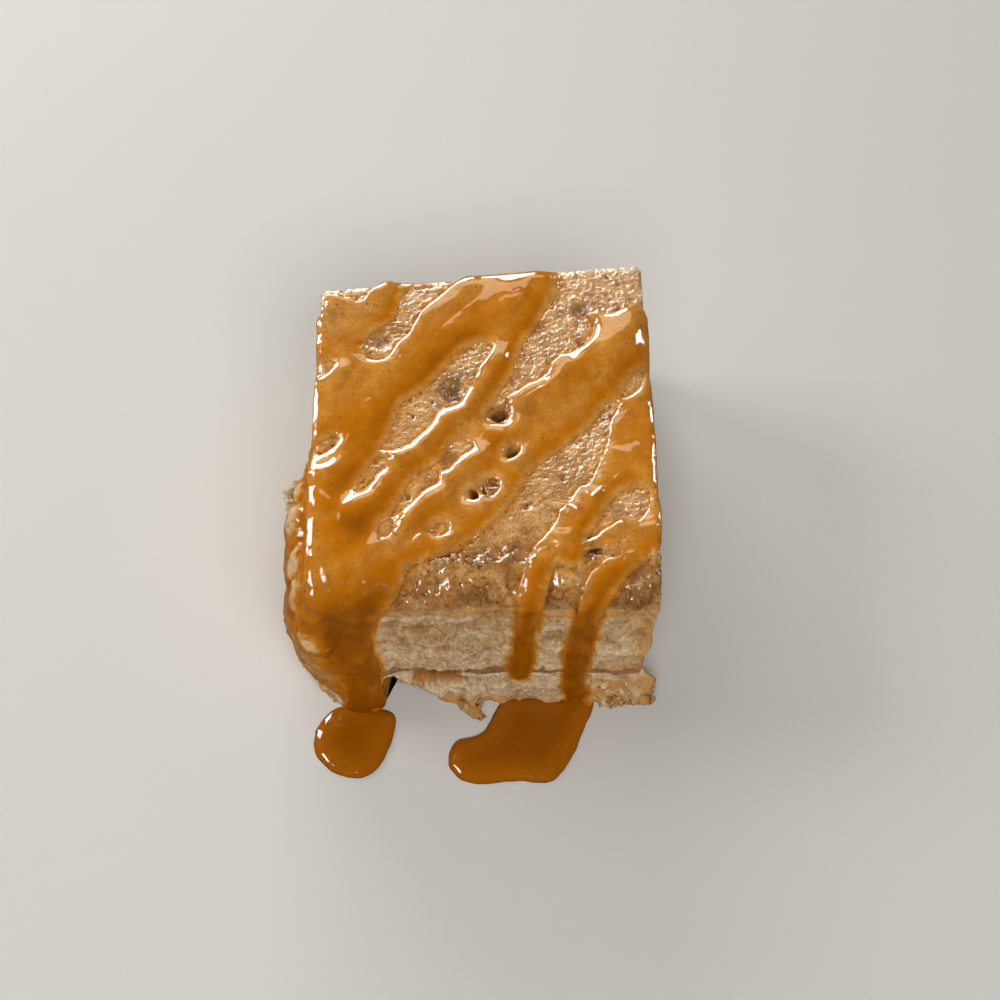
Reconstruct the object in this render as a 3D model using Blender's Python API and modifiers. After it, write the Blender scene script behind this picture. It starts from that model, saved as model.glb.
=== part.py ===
"""A square slice of bread pudding under poured caramel sauce, as closed solids.

Two layers of torn bread lie on each other with a thin seam of dark custard between them, and a browned,
spiced crust covers them. Caramel sauce lies over the crust in diagonal ropes that leave it bare in long
patches, runs down the front in three places and stands in two puddles at the foot.

Axes: +X to the slice's right, +Y to its back, +Z up, so the front faces -Y. The origin is the middle of
the bounding box's underside. Sizes are in millimetres until a mesh is written, and meshes are in metres.
"""

import bpy
import bmesh
from math import cos, hypot, pi, sin
from mathutils import Vector, noise

MM = 0.001
GAP = 0.3                       # left between neighbouring solids

# Driving sizes of the slice: its corners on the crust line and at the foot, as (x, y)
CRUST_CORNERS = {"front_left": (-31.5, -25.8), "front_right": (37.6, -26.2),
                 "back_left": (-29.8, 42.4), "back_right": (34.8, 47.9)}
FOOT_CORNERS = {"front_left": (-30.0, -30.6), "front_right": (33.8, -30.6),
                "back_left": (-31.0, 42.0), "back_right": (35.4, 47.5)}
MIDDLE = (0.66, 0.20)           # moves the middle of the bounding box onto the origin
WIDTH = 67.0                    # mean of the slice, used for distances along its sides
DEPTH = 72.0
TOP = 41.0                      # flat of the crust
CRUST_LINE = 34.0               # where the browned crust meets the pale bread
SEAM_TOP = 12.5                 # underside of the upper bread
SEAM_SPACE = 1.4                # between the breads, filled with dark custard

# The crust's rounded upper edge: how far it reaches in from each side
SHOULDER_FRONT = 10.0
SHOULDER_SIDE = 1.8
CORNER_RADIUS = 2.5             # of the upright corners
FOOT_CORNER_RADIUS = 13.0       # the front left corner is worn round towards the foot

# What slumps out of the straight sides
SLUMP = 7.6                     # the left side, low down
LEG_REACH = 2.8                 # the torn corner under the widest run of sauce
LEG_X = -20.2
LEG_HALF_WIDTH = 5.5

# What is missing from the front: under the lower bread beside the leg, and between the breads
NOTCH_X = (-16.0, -6.5)
NOTCH_HEIGHT = (8.8, 1.6)       # at either end of NOTCH_X
NOTCH_DEPTH = 7.0
POCKET_X = -6.2
POCKET_HALF_WIDTH = 5.6
POCKET_DEPTH = 2.8
POCKET_FLOOR = 7.0
SEAM_SETBACK = 0.9              # the custard seam lies behind the breads' faces

# Crust flakes that stand out of the foot: x, y, z, radius and reach
FLAKES = [(37.0, -28.0, 6.5, 3.2, 3.4), (33.0, -30.5, 2.5, 3.5, 1.5), (-0.5, -30.5, 0.8, 2.4, 2.0),
          (-38.0, 14.0, 5.0, 3.0, 1.2)]

# Hollows baked into the crust: x, y, radius and depth
HOLLOWS = [(-17.6, 30.6, 3.0, 0.9), (-2.6, 18.6, 3.6, 1.5), (6.5, 13.8, 1.9, 2.6), (8.8, 5.1, 1.7, 1.8),
           (1.9, -3.5, 2.2, 1.7), (5.2, -1.2, 1.7, 1.3), (22.7, 37.4, 2.4, 1.0), (24.2, -15.6, 2.6, 0.9),
           (-3.0, -17.3, 2.6, 0.9), (3.0, -17.0, 2.6, 1.1), (9.0, -16.4, 2.6, 0.9)]

# The sauce: its thickness, the runs down the front and the bare patches that it leaves on the crust.
# A rope is a list of points on it with its half width there: x, y, z, half width.
SAUCE_THICKNESS = 1.2
SAUCE_LIFT = 0.4                # over the smooth skin, so that its facets stay clear of the bread's
SAUCE_EDGE_BLEND = 2.0          # rounds the joins between the sheet and its runs
CORNER_RUN = [(-25.0, -10.0, 41.0, 15.5), (-24.5, -19.0, 40.9, 13.2), (-24.3, -24.5, 38.0, 9.8),
              (-24.3, -26.6, 32.0, 7.2), (-24.2, -27.8, 24.0, 5.9), (-23.3, -29.0, 18.0, 5.2),
              (-22.0, -30.6, 12.0, 4.9), (-21.0, -32.0, 7.0, 4.6)]
LEFT_RUN = [(-31.5, -12.0, 40.0, 9.0), (-34.0, -11.0, 30.0, 7.0), (-36.0, -8.0, 24.0, 5.5),
            (-37.5, -5.0, 17.0, 4.5)]
MIDDLE_RUN = [(14.8, -15.0, 41.0, 3.4), (13.6, -20.5, 40.2, 2.9), (12.6, -24.2, 38.2, 2.9),
              (11.7, -26.4, 33.2, 2.4), (11.4, -27.4, 26.0, 2.0), (11.0, -28.3, 19.0, 2.0),
              (10.5, -29.0, 13.8, 2.4), (10.5, -29.5, 10.6, 2.3)]
RIGHT_RUN = [(36.6, -8.0, 40.0, 2.2), (35.4, -14.2, 41.0, 2.6), (30.0, -18.6, 40.8, 2.8),
             (26.4, -22.0, 39.6, 3.2), (24.2, -25.5, 36.7, 2.8), (22.7, -27.1, 28.0, 2.5),
             (22.0, -28.3, 19.6, 2.5), (21.3, -29.2, 13.0, 2.3), (21.4, -29.8, 8.6, 2.3),
             (22.0, -30.2, 4.2, 2.1)]
SHEET_FRONT = [(-34.0, -15.0), (0.0, -16.0), (12.0, -15.6), (15.5, -17.5), (20.0, -20.0), (26.0, -17.0),
               (34.0, -15.5), (40.0, -15.0)]
BARE_PATCHES = {
    "back_left": [(-18.5, 28.9, 1.3), (-15.4, 30.5, 1.6), (-11.9, 35.6, 2.0), (-7.6, 40.8, 2.4),
                  (-3.6, 45.0, 2.2)],
    "middle_left": [(-14.3, 6.9, 1.1), (-11.1, 12.2, 2.7), (-7.3, 16.7, 3.1), (-3.0, 20.8, 3.1),
                    (0.6, 25.0, 2.4), (3.7, 28.7, 1.2)],
    "slit": [(-20.1, -2.4, 1.0), (-18.3, 0.3, 1.3), (-16.6, 2.5, 1.1)],
    "front_left": [(-17.2, -14.0, 1.3), (-14.2, -10.2, 1.6), (-11.2, -5.9, 1.8), (-8.2, -1.9, 1.9),
                   (-5.1, 1.6, 1.9), (-2.2, 4.7, 1.8), (0.3, 6.7, 1.3)],
    "deep_pit": [(6.4, 14.3, 1.5), (6.6, 13.2, 1.5)],
    "small_pit": [(8.4, 4.9, 1.3), (9.3, 5.4, 1.2)],
    "pit_pair": [(1.7, -3.7, 1.7), (5.2, -1.0, 1.3)],
    "middle_right": [(32.9, 18.3, 1.0), (29.0, 14.5, 1.4), (26.0, 9.5, 2.4), (21.6, 3.3, 3.9),
                     (18.1, -1.5, 4.3), (14.2, -5.9, 4.7), (10.3, -10.6, 4.6), (5.5, -16.0, 4.2)],
    "back_right": [(34.0, 48.0, 6.5), (26.6, 42.8, 5.0), (22.1, 38.2, 4.4), (18.5, 33.5, 4.3),
                   (15.4, 28.9, 3.9), (12.0, 24.3, 2.5), (8.9, 19.7, 1.4)],
    "front_right": [(33.2, -5.4, 1.3), (31.0, -7.4, 2.3), (28.3, -10.2, 2.4), (25.2, -14.5, 1.8),
                    (23.2, -18.0, 1.4)],
}

# Puddles on the surface that the slice stands on: outline points and height
PUDDLE_HEIGHT = 1.8
PUDDLE_RIM = 0.45
SAUCE_FOOT = 2.3                # the runs end here, just over the puddles
CORNER_PUDDLE = [(-15.2, -35.0), (-20.5, -34.6), (-26.4, -33.4), (-30.5, -36.5), (-30.3, -42.0),
                 (-26.0, -46.0), (-20.5, -46.6), (-16.6, -42.5)]
FRONT_PUDDLE = [(25.4, -31.6), (21.5, -31.4), (17.5, -33.4), (13.0, -32.6), (7.0, -32.8), (3.0, -37.0),
                (-2.6, -39.2), (-3.6, -44.5), (1.0, -48.0), (10.0, -47.4), (16.5, -47.6), (20.6, -43.0),
                (23.0, -37.5)]

# Grid of the faceted solids
COLUMNS = 25                    # across the slice
RANKS = 27                      # front to back
LOWER_TIERS = 5
UPPER_TIERS = 7
CRUST_TIERS = 4
SAUCE_COLUMNS = 29
SAUCE_RANKS = 31
SAUCE_TIERS = 14
SHOULDER_TIERS = 4              # of the SAUCE_TIERS, those round the upper edge
BREAD_PACKING = 0.4             # draws the bread's grid lines towards its sides

FINISHES = {                    # colour, roughness
    "lower_bread": ((0.47, 0.30, 0.15), 0.85),
    "custard_seam": ((0.16, 0.07, 0.03), 0.55),
    "upper_bread": ((0.55, 0.38, 0.20), 0.85),
    "spiced_crust": ((0.44, 0.24, 0.10), 0.6),
    "caramel_sauce": ((0.46, 0.15, 0.008), 0.12),
}


def clamp(value, low, high):
    return max(low, min(high, value))


def smooth(start, end, value):
    """0 at start, 1 at end and an S curve between; start may be the larger."""
    t = clamp((value - start) / (end - start), 0.0, 1.0)
    return t * t * (3.0 - 2.0 * t)


def mix(a, b, t):
    return a + (b - a) * t


def packed(t):
    """Even steps from 0 to 1, drawn together at both ends."""
    return t - BREAD_PACKING * sin(2.0 * pi * t) / (2.0 * pi)


def plan_point(a, b, z):
    """Where the fractions (a, b), left to right and front to back, lie in plan at height z."""
    lean = clamp((CRUST_LINE - z) / CRUST_LINE, 0.0, 1.0)

    def corner(name):
        top, foot = CRUST_CORNERS[name], FOOT_CORNERS[name]
        return mix(top[0], foot[0], lean), mix(top[1], foot[1], lean)

    front = [mix(p, q, a) for p, q in zip(corner("front_left"), corner("front_right"))]
    back = [mix(p, q, a) for p, q in zip(corner("back_left"), corner("back_right"))]
    return mix(front[0], back[0], b), mix(front[1], back[1], b)


def round_corners(a, b, z):
    """Rounds the plan's four corners, and gives the direction that faces out of the side."""
    radius = CORNER_RADIUS
    if a < 0.5 and b < 0.5:
        radius = mix(CORNER_RADIUS, FOOT_CORNER_RADIUS, smooth(CRUST_LINE, 2.0, z))
    x, y = (a - 0.5) * WIDTH, (b - 0.5) * DEPTH
    inner_x = clamp(x, radius - WIDTH / 2, WIDTH / 2 - radius)
    inner_y = clamp(y, radius - DEPTH / 2, DEPTH / 2 - radius)
    dx, dy = x - inner_x, y - inner_y
    length = hypot(dx, dy)
    if length < 1e-9:
        return a, b, Vector((0.0, 0.0, 0.0))
    scale = max(abs(dx), abs(dy)) / length
    x, y = inner_x + dx * scale, inner_y + dy * scale
    return x / WIDTH + 0.5, y / DEPTH + 0.5, Vector((dx, dy, 0.0)) / length


def slumped(x, y, z, a, b):
    """Pushes the left side out low down, and the torn corner out into a leg."""
    side = smooth(26.0, 6.0, y) * smooth(37.0, 12.0, z) * mix(0.82, 1.0, smooth(0.0, 7.0, z))
    leg = smooth(30.0, 2.0, z) * smooth(LEG_HALF_WIDTH * 1.6, 0.0, abs(x - LEG_X))
    x -= SLUMP * side * smooth(0.5, 0.0, a)
    y -= LEG_REACH * leg * smooth(0.3, 0.0, b)
    return x, y


def crust_height(x, y):
    """The top is nearly flat: it dips a little between broad low swells."""
    return TOP - 0.5 + 0.5 * noise.noise(Vector((x / 19.0, y / 19.0, 3.1)))


def skin(a, b, z, rim):
    """A point of the slice's smooth outside, and the direction that faces out there.

    z is the height in the straight slice, and rim runs from 0 at the crust line to 1 on the flat top,
    while the sides draw in by their shoulders.
    """
    left = SHOULDER_SIDE * rim / WIDTH
    front = SHOULDER_FRONT * rim / DEPTH
    back = SHOULDER_SIDE * rim / DEPTH
    a, b, out = round_corners(a, b, z)
    x, y = plan_point(mix(left, 1.0 - left, a), mix(front, 1.0 - back, b), z)
    x, y = slumped(x, y, z, a, b)
    return Vector((x, y, z)), out


def torn(p, strength):
    """Ridges and crumbs of torn bread, in mm behind the smooth side."""
    ridge = noise.noise(Vector((p.x / 11.0, p.y / 11.0, p.z / 2.7)))
    crumb = noise.noise(Vector((p.x / 4.1, p.y / 4.1, p.z / 3.4 + 9.0)))
    return -strength * clamp(0.5 + 0.45 * ridge + 0.4 * crumb, 0.0, 1.3)


def notch(p):
    """The front's missing piece under the lower bread, in mm behind the side."""
    along = (p.x - NOTCH_X[0]) / (NOTCH_X[1] - NOTCH_X[0])
    height = mix(*NOTCH_HEIGHT, clamp(along, 0.0, 1.0))
    inside = smooth(-0.12, 0.12, along) * smooth(1.15, 0.75, along)
    return -NOTCH_DEPTH * inside * smooth(height + 1.2, height - 1.2, p.z)


def pocket(p):
    """The brown hollow between the breads, in mm behind the side."""
    across = smooth(POCKET_HALF_WIDTH, POCKET_HALF_WIDTH * 0.5, abs(p.x - POCKET_X))
    up = smooth(POCKET_FLOOR, POCKET_FLOOR + 2.5, p.z) * smooth(SEAM_TOP + 0.3, SEAM_TOP, p.z)
    return -POCKET_DEPTH * across * up


def flakes(p):
    """Crust flakes and crumbs that stand out of the foot, in mm."""
    reach = 0.0
    for x, y, z, radius, height in FLAKES:
        away = (p - Vector((x, y, z))).length
        reach = max(reach, height * smooth(radius, radius * 0.2, away))
    return reach


def side_relief(p, out, strength):
    """All that moves a side in or out; the two hollows are in the front alone."""
    move = torn(p, strength) + flakes(p)
    if out.y < -0.5:
        move += notch(p) + pocket(p)
    return p + out * move


def hollows(x, y):
    """How deep the crust is at a point, in mm below its smooth top."""
    return -sum(depth * smooth(radius, radius * 0.25, hypot(x - cx, y - cy))
                for cx, cy, radius, depth in HOLLOWS)


def wave(x, y, a, b, height):
    """An interface between layers rises and falls where it shows, and is flat inside."""
    from_side = min(a * WIDTH, (1.0 - a) * WIDTH, b * DEPTH, (1.0 - b) * DEPTH)
    return height * smooth(4.5, 1.0, from_side) * (sin(x / 5.3 + 0.8) + sin(y / 6.1)) / 2.0


def unit_block(columns, ranks, tiers):
    """A cube from 0 to 1 with an even grid on its faces."""
    bm = bmesh.new()
    bmesh.ops.create_cube(bm, size=1.0)
    bmesh.ops.translate(bm, verts=bm.verts, vec=(0.5, 0.5, 0.5))
    for axis, count in enumerate((columns, ranks, tiers)):
        if count > 1:
            along = [e for e in bm.edges if abs(e.verts[0].co[axis] - e.verts[1].co[axis]) > 0.5]
            bmesh.ops.subdivide_edges(bm, edges=along, cuts=count - 1, use_grid_fill=True)
    return bm


def merge_flat_middle(bm, z):
    """Makes one face of a layer's flat, hidden middle at height z."""
    flat = [f for f in bm.faces if all(abs(v.co.z - z * MM) < 1e-7 for v in f.verts)]
    bmesh.ops.dissolve_faces(bm, faces=flat, use_verts=True)


def add_object(name, bm, parts):
    """Writes a mesh as an object of the slice with its own material."""
    bmesh.ops.translate(bm, verts=bm.verts, vec=(MIDDLE[0] * MM, MIDDLE[1] * MM, 0.0))
    bmesh.ops.recalc_face_normals(bm, faces=bm.faces)
    mesh = bpy.data.meshes.new(name)
    bm.to_mesh(mesh)
    bm.free()
    mesh.shade_smooth()
    mesh.set_sharp_from_angle(angle=0.7)
    obj = bpy.data.objects.new(name, mesh)
    parts.objects.link(obj)
    obj.data.materials.append(finish("caramel_sauce" if "puddle" in name else name))
    return obj


def finish(name):
    """The Principled material of a sub-part."""
    if name in bpy.data.materials:
        return bpy.data.materials[name]
    colour, roughness = FINISHES[name]
    material = bpy.data.materials.new(name)
    material.use_nodes = True
    shader = material.node_tree.nodes["Principled BSDF"]
    shader.inputs["Base Color"].default_value = (*colour, 1.0)
    shader.inputs["Roughness"].default_value = roughness
    shader.inputs["Metallic"].default_value = 0.0
    return material


def bread_layer(name, low, high, tiers, parts, low_wave=0.0, high_wave=0.0, strength=1.0, setback=0.0):
    """A slab through the slice from low to high, with torn sides and faces that follow the waves."""
    bm = unit_block(COLUMNS, RANKS, tiers)
    for v in bm.verts:
        a, b, c = packed(v.co.x), packed(v.co.y), v.co.z
        p, out = skin(a, b, mix(low, high, c), 0.0)
        p.z += mix(wave(p.x, p.y, a, b, low_wave), wave(p.x, p.y, a, b, high_wave), c)
        v.co = side_relief(p - out * setback, out, strength) * MM
    merge_flat_middle(bm, low)
    merge_flat_middle(bm, high)
    return add_object(name, bm, parts)


def crust_layer(name, low, low_wave, parts):
    """The browned top layer: rounded at its upper edge, hollowed where custard bubbled and sank."""
    bm = unit_block(COLUMNS, RANKS, CRUST_TIERS)
    for v in bm.verts:
        a, b, c = packed(v.co.x), packed(v.co.y), v.co.z
        rise = sin(c * pi / 2.0)
        rim = 1.0 - cos(c * pi / 2.0)
        p, out = skin(a, b, CRUST_LINE, rim)
        bottom = low + wave(p.x, p.y, a, b, low_wave)
        p.z = mix(bottom, crust_height(p.x, p.y), rise)
        p.z += hollows(p.x, p.y) * smooth(0.6, 1.0, c)
        v.co = side_relief(p, out, 0.7 * (1.0 - rim)) * MM
    merge_flat_middle(bm, low)
    return add_object(name, bm, parts)


def segment_reach(p, start, end):
    """How far inside a rope's tapering stretch the point lies, in mm; negative outside."""
    a, b = Vector(start[:-1]), Vector(end[:-1])
    line = b - a
    t = clamp((p - a).dot(line) / line.length_squared, 0.0, 1.0)
    return mix(start[-1], end[-1], t) - (p - a - line * t).length


def rope_reach(p, rope):
    return max(segment_reach(p, start, end) for start, end in zip(rope, rope[1:]))


def joined(first, second, blend):
    """The larger of two reaches, with a fillet where they are about equal."""
    h = clamp(0.5 + 0.5 * (first - second) / blend, 0.0, 1.0)
    return mix(second, first, h) + blend * h * (1.0 - h)


def sheet_reach(p):
    """How far behind the sheet's front edge the point lies, on the flat of the crust alone."""
    x = clamp(p.x, SHEET_FRONT[0][0], SHEET_FRONT[-1][0] - 1e-6)
    for (x0, y0), (x1, y1) in zip(SHEET_FRONT, SHEET_FRONT[1:]):
        if x0 <= x < x1:
            front = mix(y0, y1, (x - x0) / (x1 - x0))
    return min(p.y - front, p.z - (TOP - 3.0))


def sauce_reach(p):
    """Above 0 where sauce covers the slice, in mm from its edge."""
    reach = sheet_reach(p)
    for rope in (CORNER_RUN, LEFT_RUN, MIDDLE_RUN, RIGHT_RUN):
        reach = joined(reach, rope_reach(p, rope), SAUCE_EDGE_BLEND)
    reach = min(reach, p.z - SAUCE_FOOT)
    on_top = Vector((p.x, p.y))
    if p.z > TOP - 4.0:
        for patch in BARE_PATCHES.values():
            reach = min(reach, -rope_reach(on_top, patch))
    return reach


def sauce_point(a, b, c):
    """The slice's smooth outside under the sauce, for a block's fractions."""
    shoulder = SHOULDER_TIERS / SAUCE_TIERS
    up = clamp((c - 1.0 + shoulder) / shoulder, 0.0, 1.0)
    rim = 1.0 - cos(up * pi / 2.0)
    below = clamp(c / (1.0 - shoulder), 0.0, 1.0)
    p, out = skin(a, b, CRUST_LINE * below, rim)
    if up > 0.0:
        p.z = mix(CRUST_LINE, crust_height(p.x, p.y), sin(up * pi / 2.0))
    return p


def cut_along_edge(bm, reach):
    """Cuts the faces along the sauce's edge and deletes what lies outside."""
    near = 0.3
    value = {v: reach(v.co / MM) for v in bm.verts}
    for e in bm.edges:
        v, w = e.verts
        if value[v] * value[w] < 0.0:
            t = value[v] / (value[v] - value[w])
            if t < near:
                v.co, value[v] = v.co.lerp(w.co, t), 0.0
            elif t > 1.0 - near:
                w.co, value[w] = v.co.lerp(w.co, t), 0.0
    for e in [e for e in bm.edges if value[e.verts[0]] * value[e.verts[1]] < 0.0]:
        v, w = e.verts
        split = bmesh.utils.edge_split(e, v, value[v] / (value[v] - value[w]))
        value[split[1]] = 0.0
    on_edge = [v for v in bm.verts if value[v] == 0.0]
    bmesh.ops.connect_verts(bm, verts=on_edge)
    outside = [f for f in bm.faces if sum(value[v] for v in f.verts) <= 0.0]
    bmesh.ops.delete(bm, geom=outside, context="FACES")


def keep_largest_sheet(bm):
    """Drops crumbs of sauce that the cut leaves apart from the sheet."""
    left = set(bm.faces)
    sheets = []
    while left:
        sheet, front = set(), [left.pop()]
        while front:
            face = front.pop()
            sheet.add(face)
            for e in face.edges:
                for other in e.link_faces:
                    if other in left:
                        left.remove(other)
                        front.append(other)
        sheets.append(sheet)
    sheets.sort(key=len)
    scraps = [f for sheet in sheets[:-1] for f in sheet]
    bmesh.ops.delete(bm, geom=scraps, context="FACES")


def caramel_sauce(name, parts):
    """The poured sauce: one skin over the crust and down its runs, lifted just clear of the bread."""
    bm = unit_block(SAUCE_COLUMNS, SAUCE_RANKS, SAUCE_TIERS)
    underside = [f for f in bm.faces if all(v.co.z < 1e-6 for v in f.verts)]
    bmesh.ops.delete(bm, geom=underside, context="FACES")
    for v in bm.verts:
        v.co = sauce_point(*v.co) * MM
    bmesh.ops.recalc_face_normals(bm, faces=bm.faces)
    bmesh.ops.triangulate(bm, faces=bm.faces)
    cut_along_edge(bm, sauce_reach)
    keep_largest_sheet(bm)
    bm.normal_update()
    lifted = [v.co + v.normal * SAUCE_LIFT * MM for v in bm.verts]
    for v, co in zip(bm.verts, lifted):
        v.co = co
    obj = add_object(name, bm, parts)
    wall = obj.modifiers.new("thickness", "SOLIDIFY")
    wall.thickness = SAUCE_THICKNESS * MM
    wall.offset = 1.0
    return obj


def puddle(name, outline, parts):
    """A flat pool with a rounded rim, from a closed curve."""
    curve = bpy.data.curves.new(name, "CURVE")
    curve.dimensions = "2D"
    curve.fill_mode = "BOTH"
    curve.extrude = (PUDDLE_HEIGHT / 2.0 - PUDDLE_RIM) * MM
    curve.bevel_depth = PUDDLE_RIM * MM
    curve.bevel_resolution = 1
    curve.offset = -PUDDLE_RIM * MM
    curve.resolution_u = 3
    spline = curve.splines.new("BEZIER")
    spline.bezier_points.add(len(outline) - 1)
    for point, (x, y) in zip(spline.bezier_points, outline):
        point.co = (x * MM, y * MM, 0.0)
        point.handle_left_type = point.handle_right_type = "AUTO"
    spline.use_cyclic_u = True
    guide = bpy.data.objects.new(name + "_curve", curve)
    parts.objects.link(guide)
    bpy.context.view_layer.update()
    shape = bpy.data.meshes.new_from_object(guide.evaluated_get(bpy.context.evaluated_depsgraph_get()))
    bm = bmesh.new()
    bm.from_mesh(shape)
    bmesh.ops.remove_doubles(bm, verts=bm.verts, dist=0.00001)
    bmesh.ops.translate(bm, verts=bm.verts, vec=(0.0, 0.0, PUDDLE_HEIGHT / 2.0 * MM))
    bpy.data.objects.remove(guide)
    bpy.data.curves.remove(curve)
    bpy.data.meshes.remove(shape)
    return add_object(name, bm, parts)


def main():
    for obj in list(bpy.data.objects):
        bpy.data.objects.remove(obj)
    parts = bpy.data.collections.new("bread_pudding")
    bpy.context.scene.collection.children.link(parts)

    seam_low = SEAM_TOP - SEAM_SPACE
    bread_layer("lower_bread", 0.0, seam_low, LOWER_TIERS, parts)
    bread_layer("custard_seam", seam_low + GAP, SEAM_TOP - GAP, 1, parts, setback=SEAM_SETBACK)
    bread_layer("upper_bread", SEAM_TOP, CRUST_LINE - GAP, UPPER_TIERS, parts, high_wave=1.4)
    crust_layer("spiced_crust", CRUST_LINE, 1.4, parts)
    caramel_sauce("caramel_sauce", parts)
    puddle("corner_puddle", CORNER_PUDDLE, parts)
    puddle("front_puddle", FRONT_PUDDLE, parts)


main()
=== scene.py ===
"""Looks of a square slice of bread pudding under poured caramel sauce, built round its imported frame.

Each piece is a surface that numpy works out in millimetres, in the slice's own axes: X to its right, Y to its
back and Z up. write_piece() moves it onto the frame's origin and writes it in metres.
"""

import itertools
import math

import bpy
import numpy as np
from bpy.props import FloatProperty, FloatVectorProperty, PointerProperty
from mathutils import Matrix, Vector


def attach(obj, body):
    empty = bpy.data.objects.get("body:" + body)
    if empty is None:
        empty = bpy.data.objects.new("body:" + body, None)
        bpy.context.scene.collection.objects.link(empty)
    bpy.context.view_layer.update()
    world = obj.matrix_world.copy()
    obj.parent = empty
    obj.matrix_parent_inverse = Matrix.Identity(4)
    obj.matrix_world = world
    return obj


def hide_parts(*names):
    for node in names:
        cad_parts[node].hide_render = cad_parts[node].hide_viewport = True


bl_info = {
    "name": "Bread pudding looks",
    "version": (1, 0, 0),
    "blender": (4, 5, 0),
    "location": "3D View > Sidebar > Bread pudding",
    "description": "Bakes the surface of a bread pudding slice and pours its caramel sauce",
    "category": "Object",
}

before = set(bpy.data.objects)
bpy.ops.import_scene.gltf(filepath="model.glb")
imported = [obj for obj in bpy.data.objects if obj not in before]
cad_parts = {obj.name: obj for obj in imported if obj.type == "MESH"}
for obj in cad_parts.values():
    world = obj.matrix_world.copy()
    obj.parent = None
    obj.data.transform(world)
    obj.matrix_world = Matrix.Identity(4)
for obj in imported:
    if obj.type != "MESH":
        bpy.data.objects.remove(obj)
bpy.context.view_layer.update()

MM = 0.001
SHIFT = np.array([0.66, 0.20, 0.0])     # from the slice's own axes to the frame's, in mm
STEP = 0.31                             # of the fine grids, in mm
SAUCE_STEP = 0.365                      # of the sauce's grid, which its underside repeats

# The slice's corners on the crust line and at the foot, as (x, y) in mm: the two front ones, then the back
CRUST_CORNERS = [(-30.0, -25.8), (37.6, -26.2), (-29.8, 42.4), (35.3, 48.5)]
FOOT_CORNERS = [(-30.0, -30.6), (33.8, -30.6), (-31.0, 42.0), (35.4, 47.5)]
MIDDLE = np.array([2.0, 8.0])           # in plan, where the closed surfaces have their poles
FRONT_SIDE = -24.0                      # points of a lower y are on the front side
UP = np.array([0.0, 0.0, 1.0])
WIDTH = 67.0
DEPTH = 72.0
TOP = 41.0
CRUST_LINE = 34.0
SEAM_TOP = 12.5
SEAM_SPACE = 1.4
GAP = 0.3
SHOULDER_FRONT = 10.0
SHOULDER_SIDE = 0.35
RIM_DROP = 0.7
RIM_WIDTH = 3.0
BACK_RISE = 0.9
CORNER_RADIUS = 1.4
FOOT_CORNER_RADIUS = 13.0
CRUST_ROWS = 32                         # of points from the crust line to the flat top
SAUCE_ROWS = 26                         # the same for the sauce's own grid
SMOOTHING_PASSES = 26                   # over the corner that the sauce bridges
PUDDLE_STEPS = 8                        # points for each stretch of a puddle's outline
BARE_STEPS = 3                          # the same for a bare place's outline

# What slumps out of the straight sides, and what is missing from the front
SLUMP = 5.2
LEG_REACH = 2.8
LEG_X = -20.2
LEG_HALF_WIDTH = 5.5
NOTCH_X = (-16.0, -6.5)
NOTCH_HEIGHT = (8.8, 1.6)
NOTCH_DEPTH = 7.0
POCKET_X = -5.6
POCKET_HALF_WIDTH = 6.2
POCKET_DEPTH = 3.0
POCKET_FLOOR = 4.8
SEAM_SETBACK = 0.45

# Crust flakes and soft lumps that stand out of the sides: x, y, z, radius and reach
FLAKES = [(35.0, -29.2, 6.0, 3.8, 3.0), (33.0, -30.5, 2.5, 3.5, 1.5), (-0.5, -30.5, 0.8, 2.4, 2.0),
          (-38.0, 14.0, 5.0, 3.0, 1.2)]
DENTS = [(-11.5, -27.2, 26.8, 1.5, 0.9), (-7.2, -28.3, 18.8, 1.6, 0.8), (3.6, -26.9, 29.7, 1.3, 0.7)]
# Soft lumps of the left side: x, y, z, radius, reach, and how pale they are
LUMPS = [(-32.4, 3.6, 23.5, 3.2, 1.9, 1.0), (-33.2, -1.3, 22.0, 4.1, 2.6, 1.0),
         (-33.2, -6.8, 22.3, 3.6, 2.2, 0.0), (-32.5, -12.0, 24.0, 4.0, 2.4, 0.9),
         (-31.4, -18.6, 25.5, 4.2, 2.1, 0.8), (-31.0, -24.0, 26.0, 2.3, 1.2, 1.0),
         (-29.9, -26.6, 22.3, 2.7, 1.8, 1.0), (-26.4, -29.4, 16.0, 3.0, 0.9, 0.3),
         (-35.0, 5.5, 14.0, 5.0, 1.5, 0.3), (-35.6, -5.0, 12.0, 5.5, 1.5, 0.2),
         (-34.6, -16.0, 13.0, 5.5, 1.3, 0.3), (-31.6, -25.0, 12.0, 5.0, 1.0, 0.5)]

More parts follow.
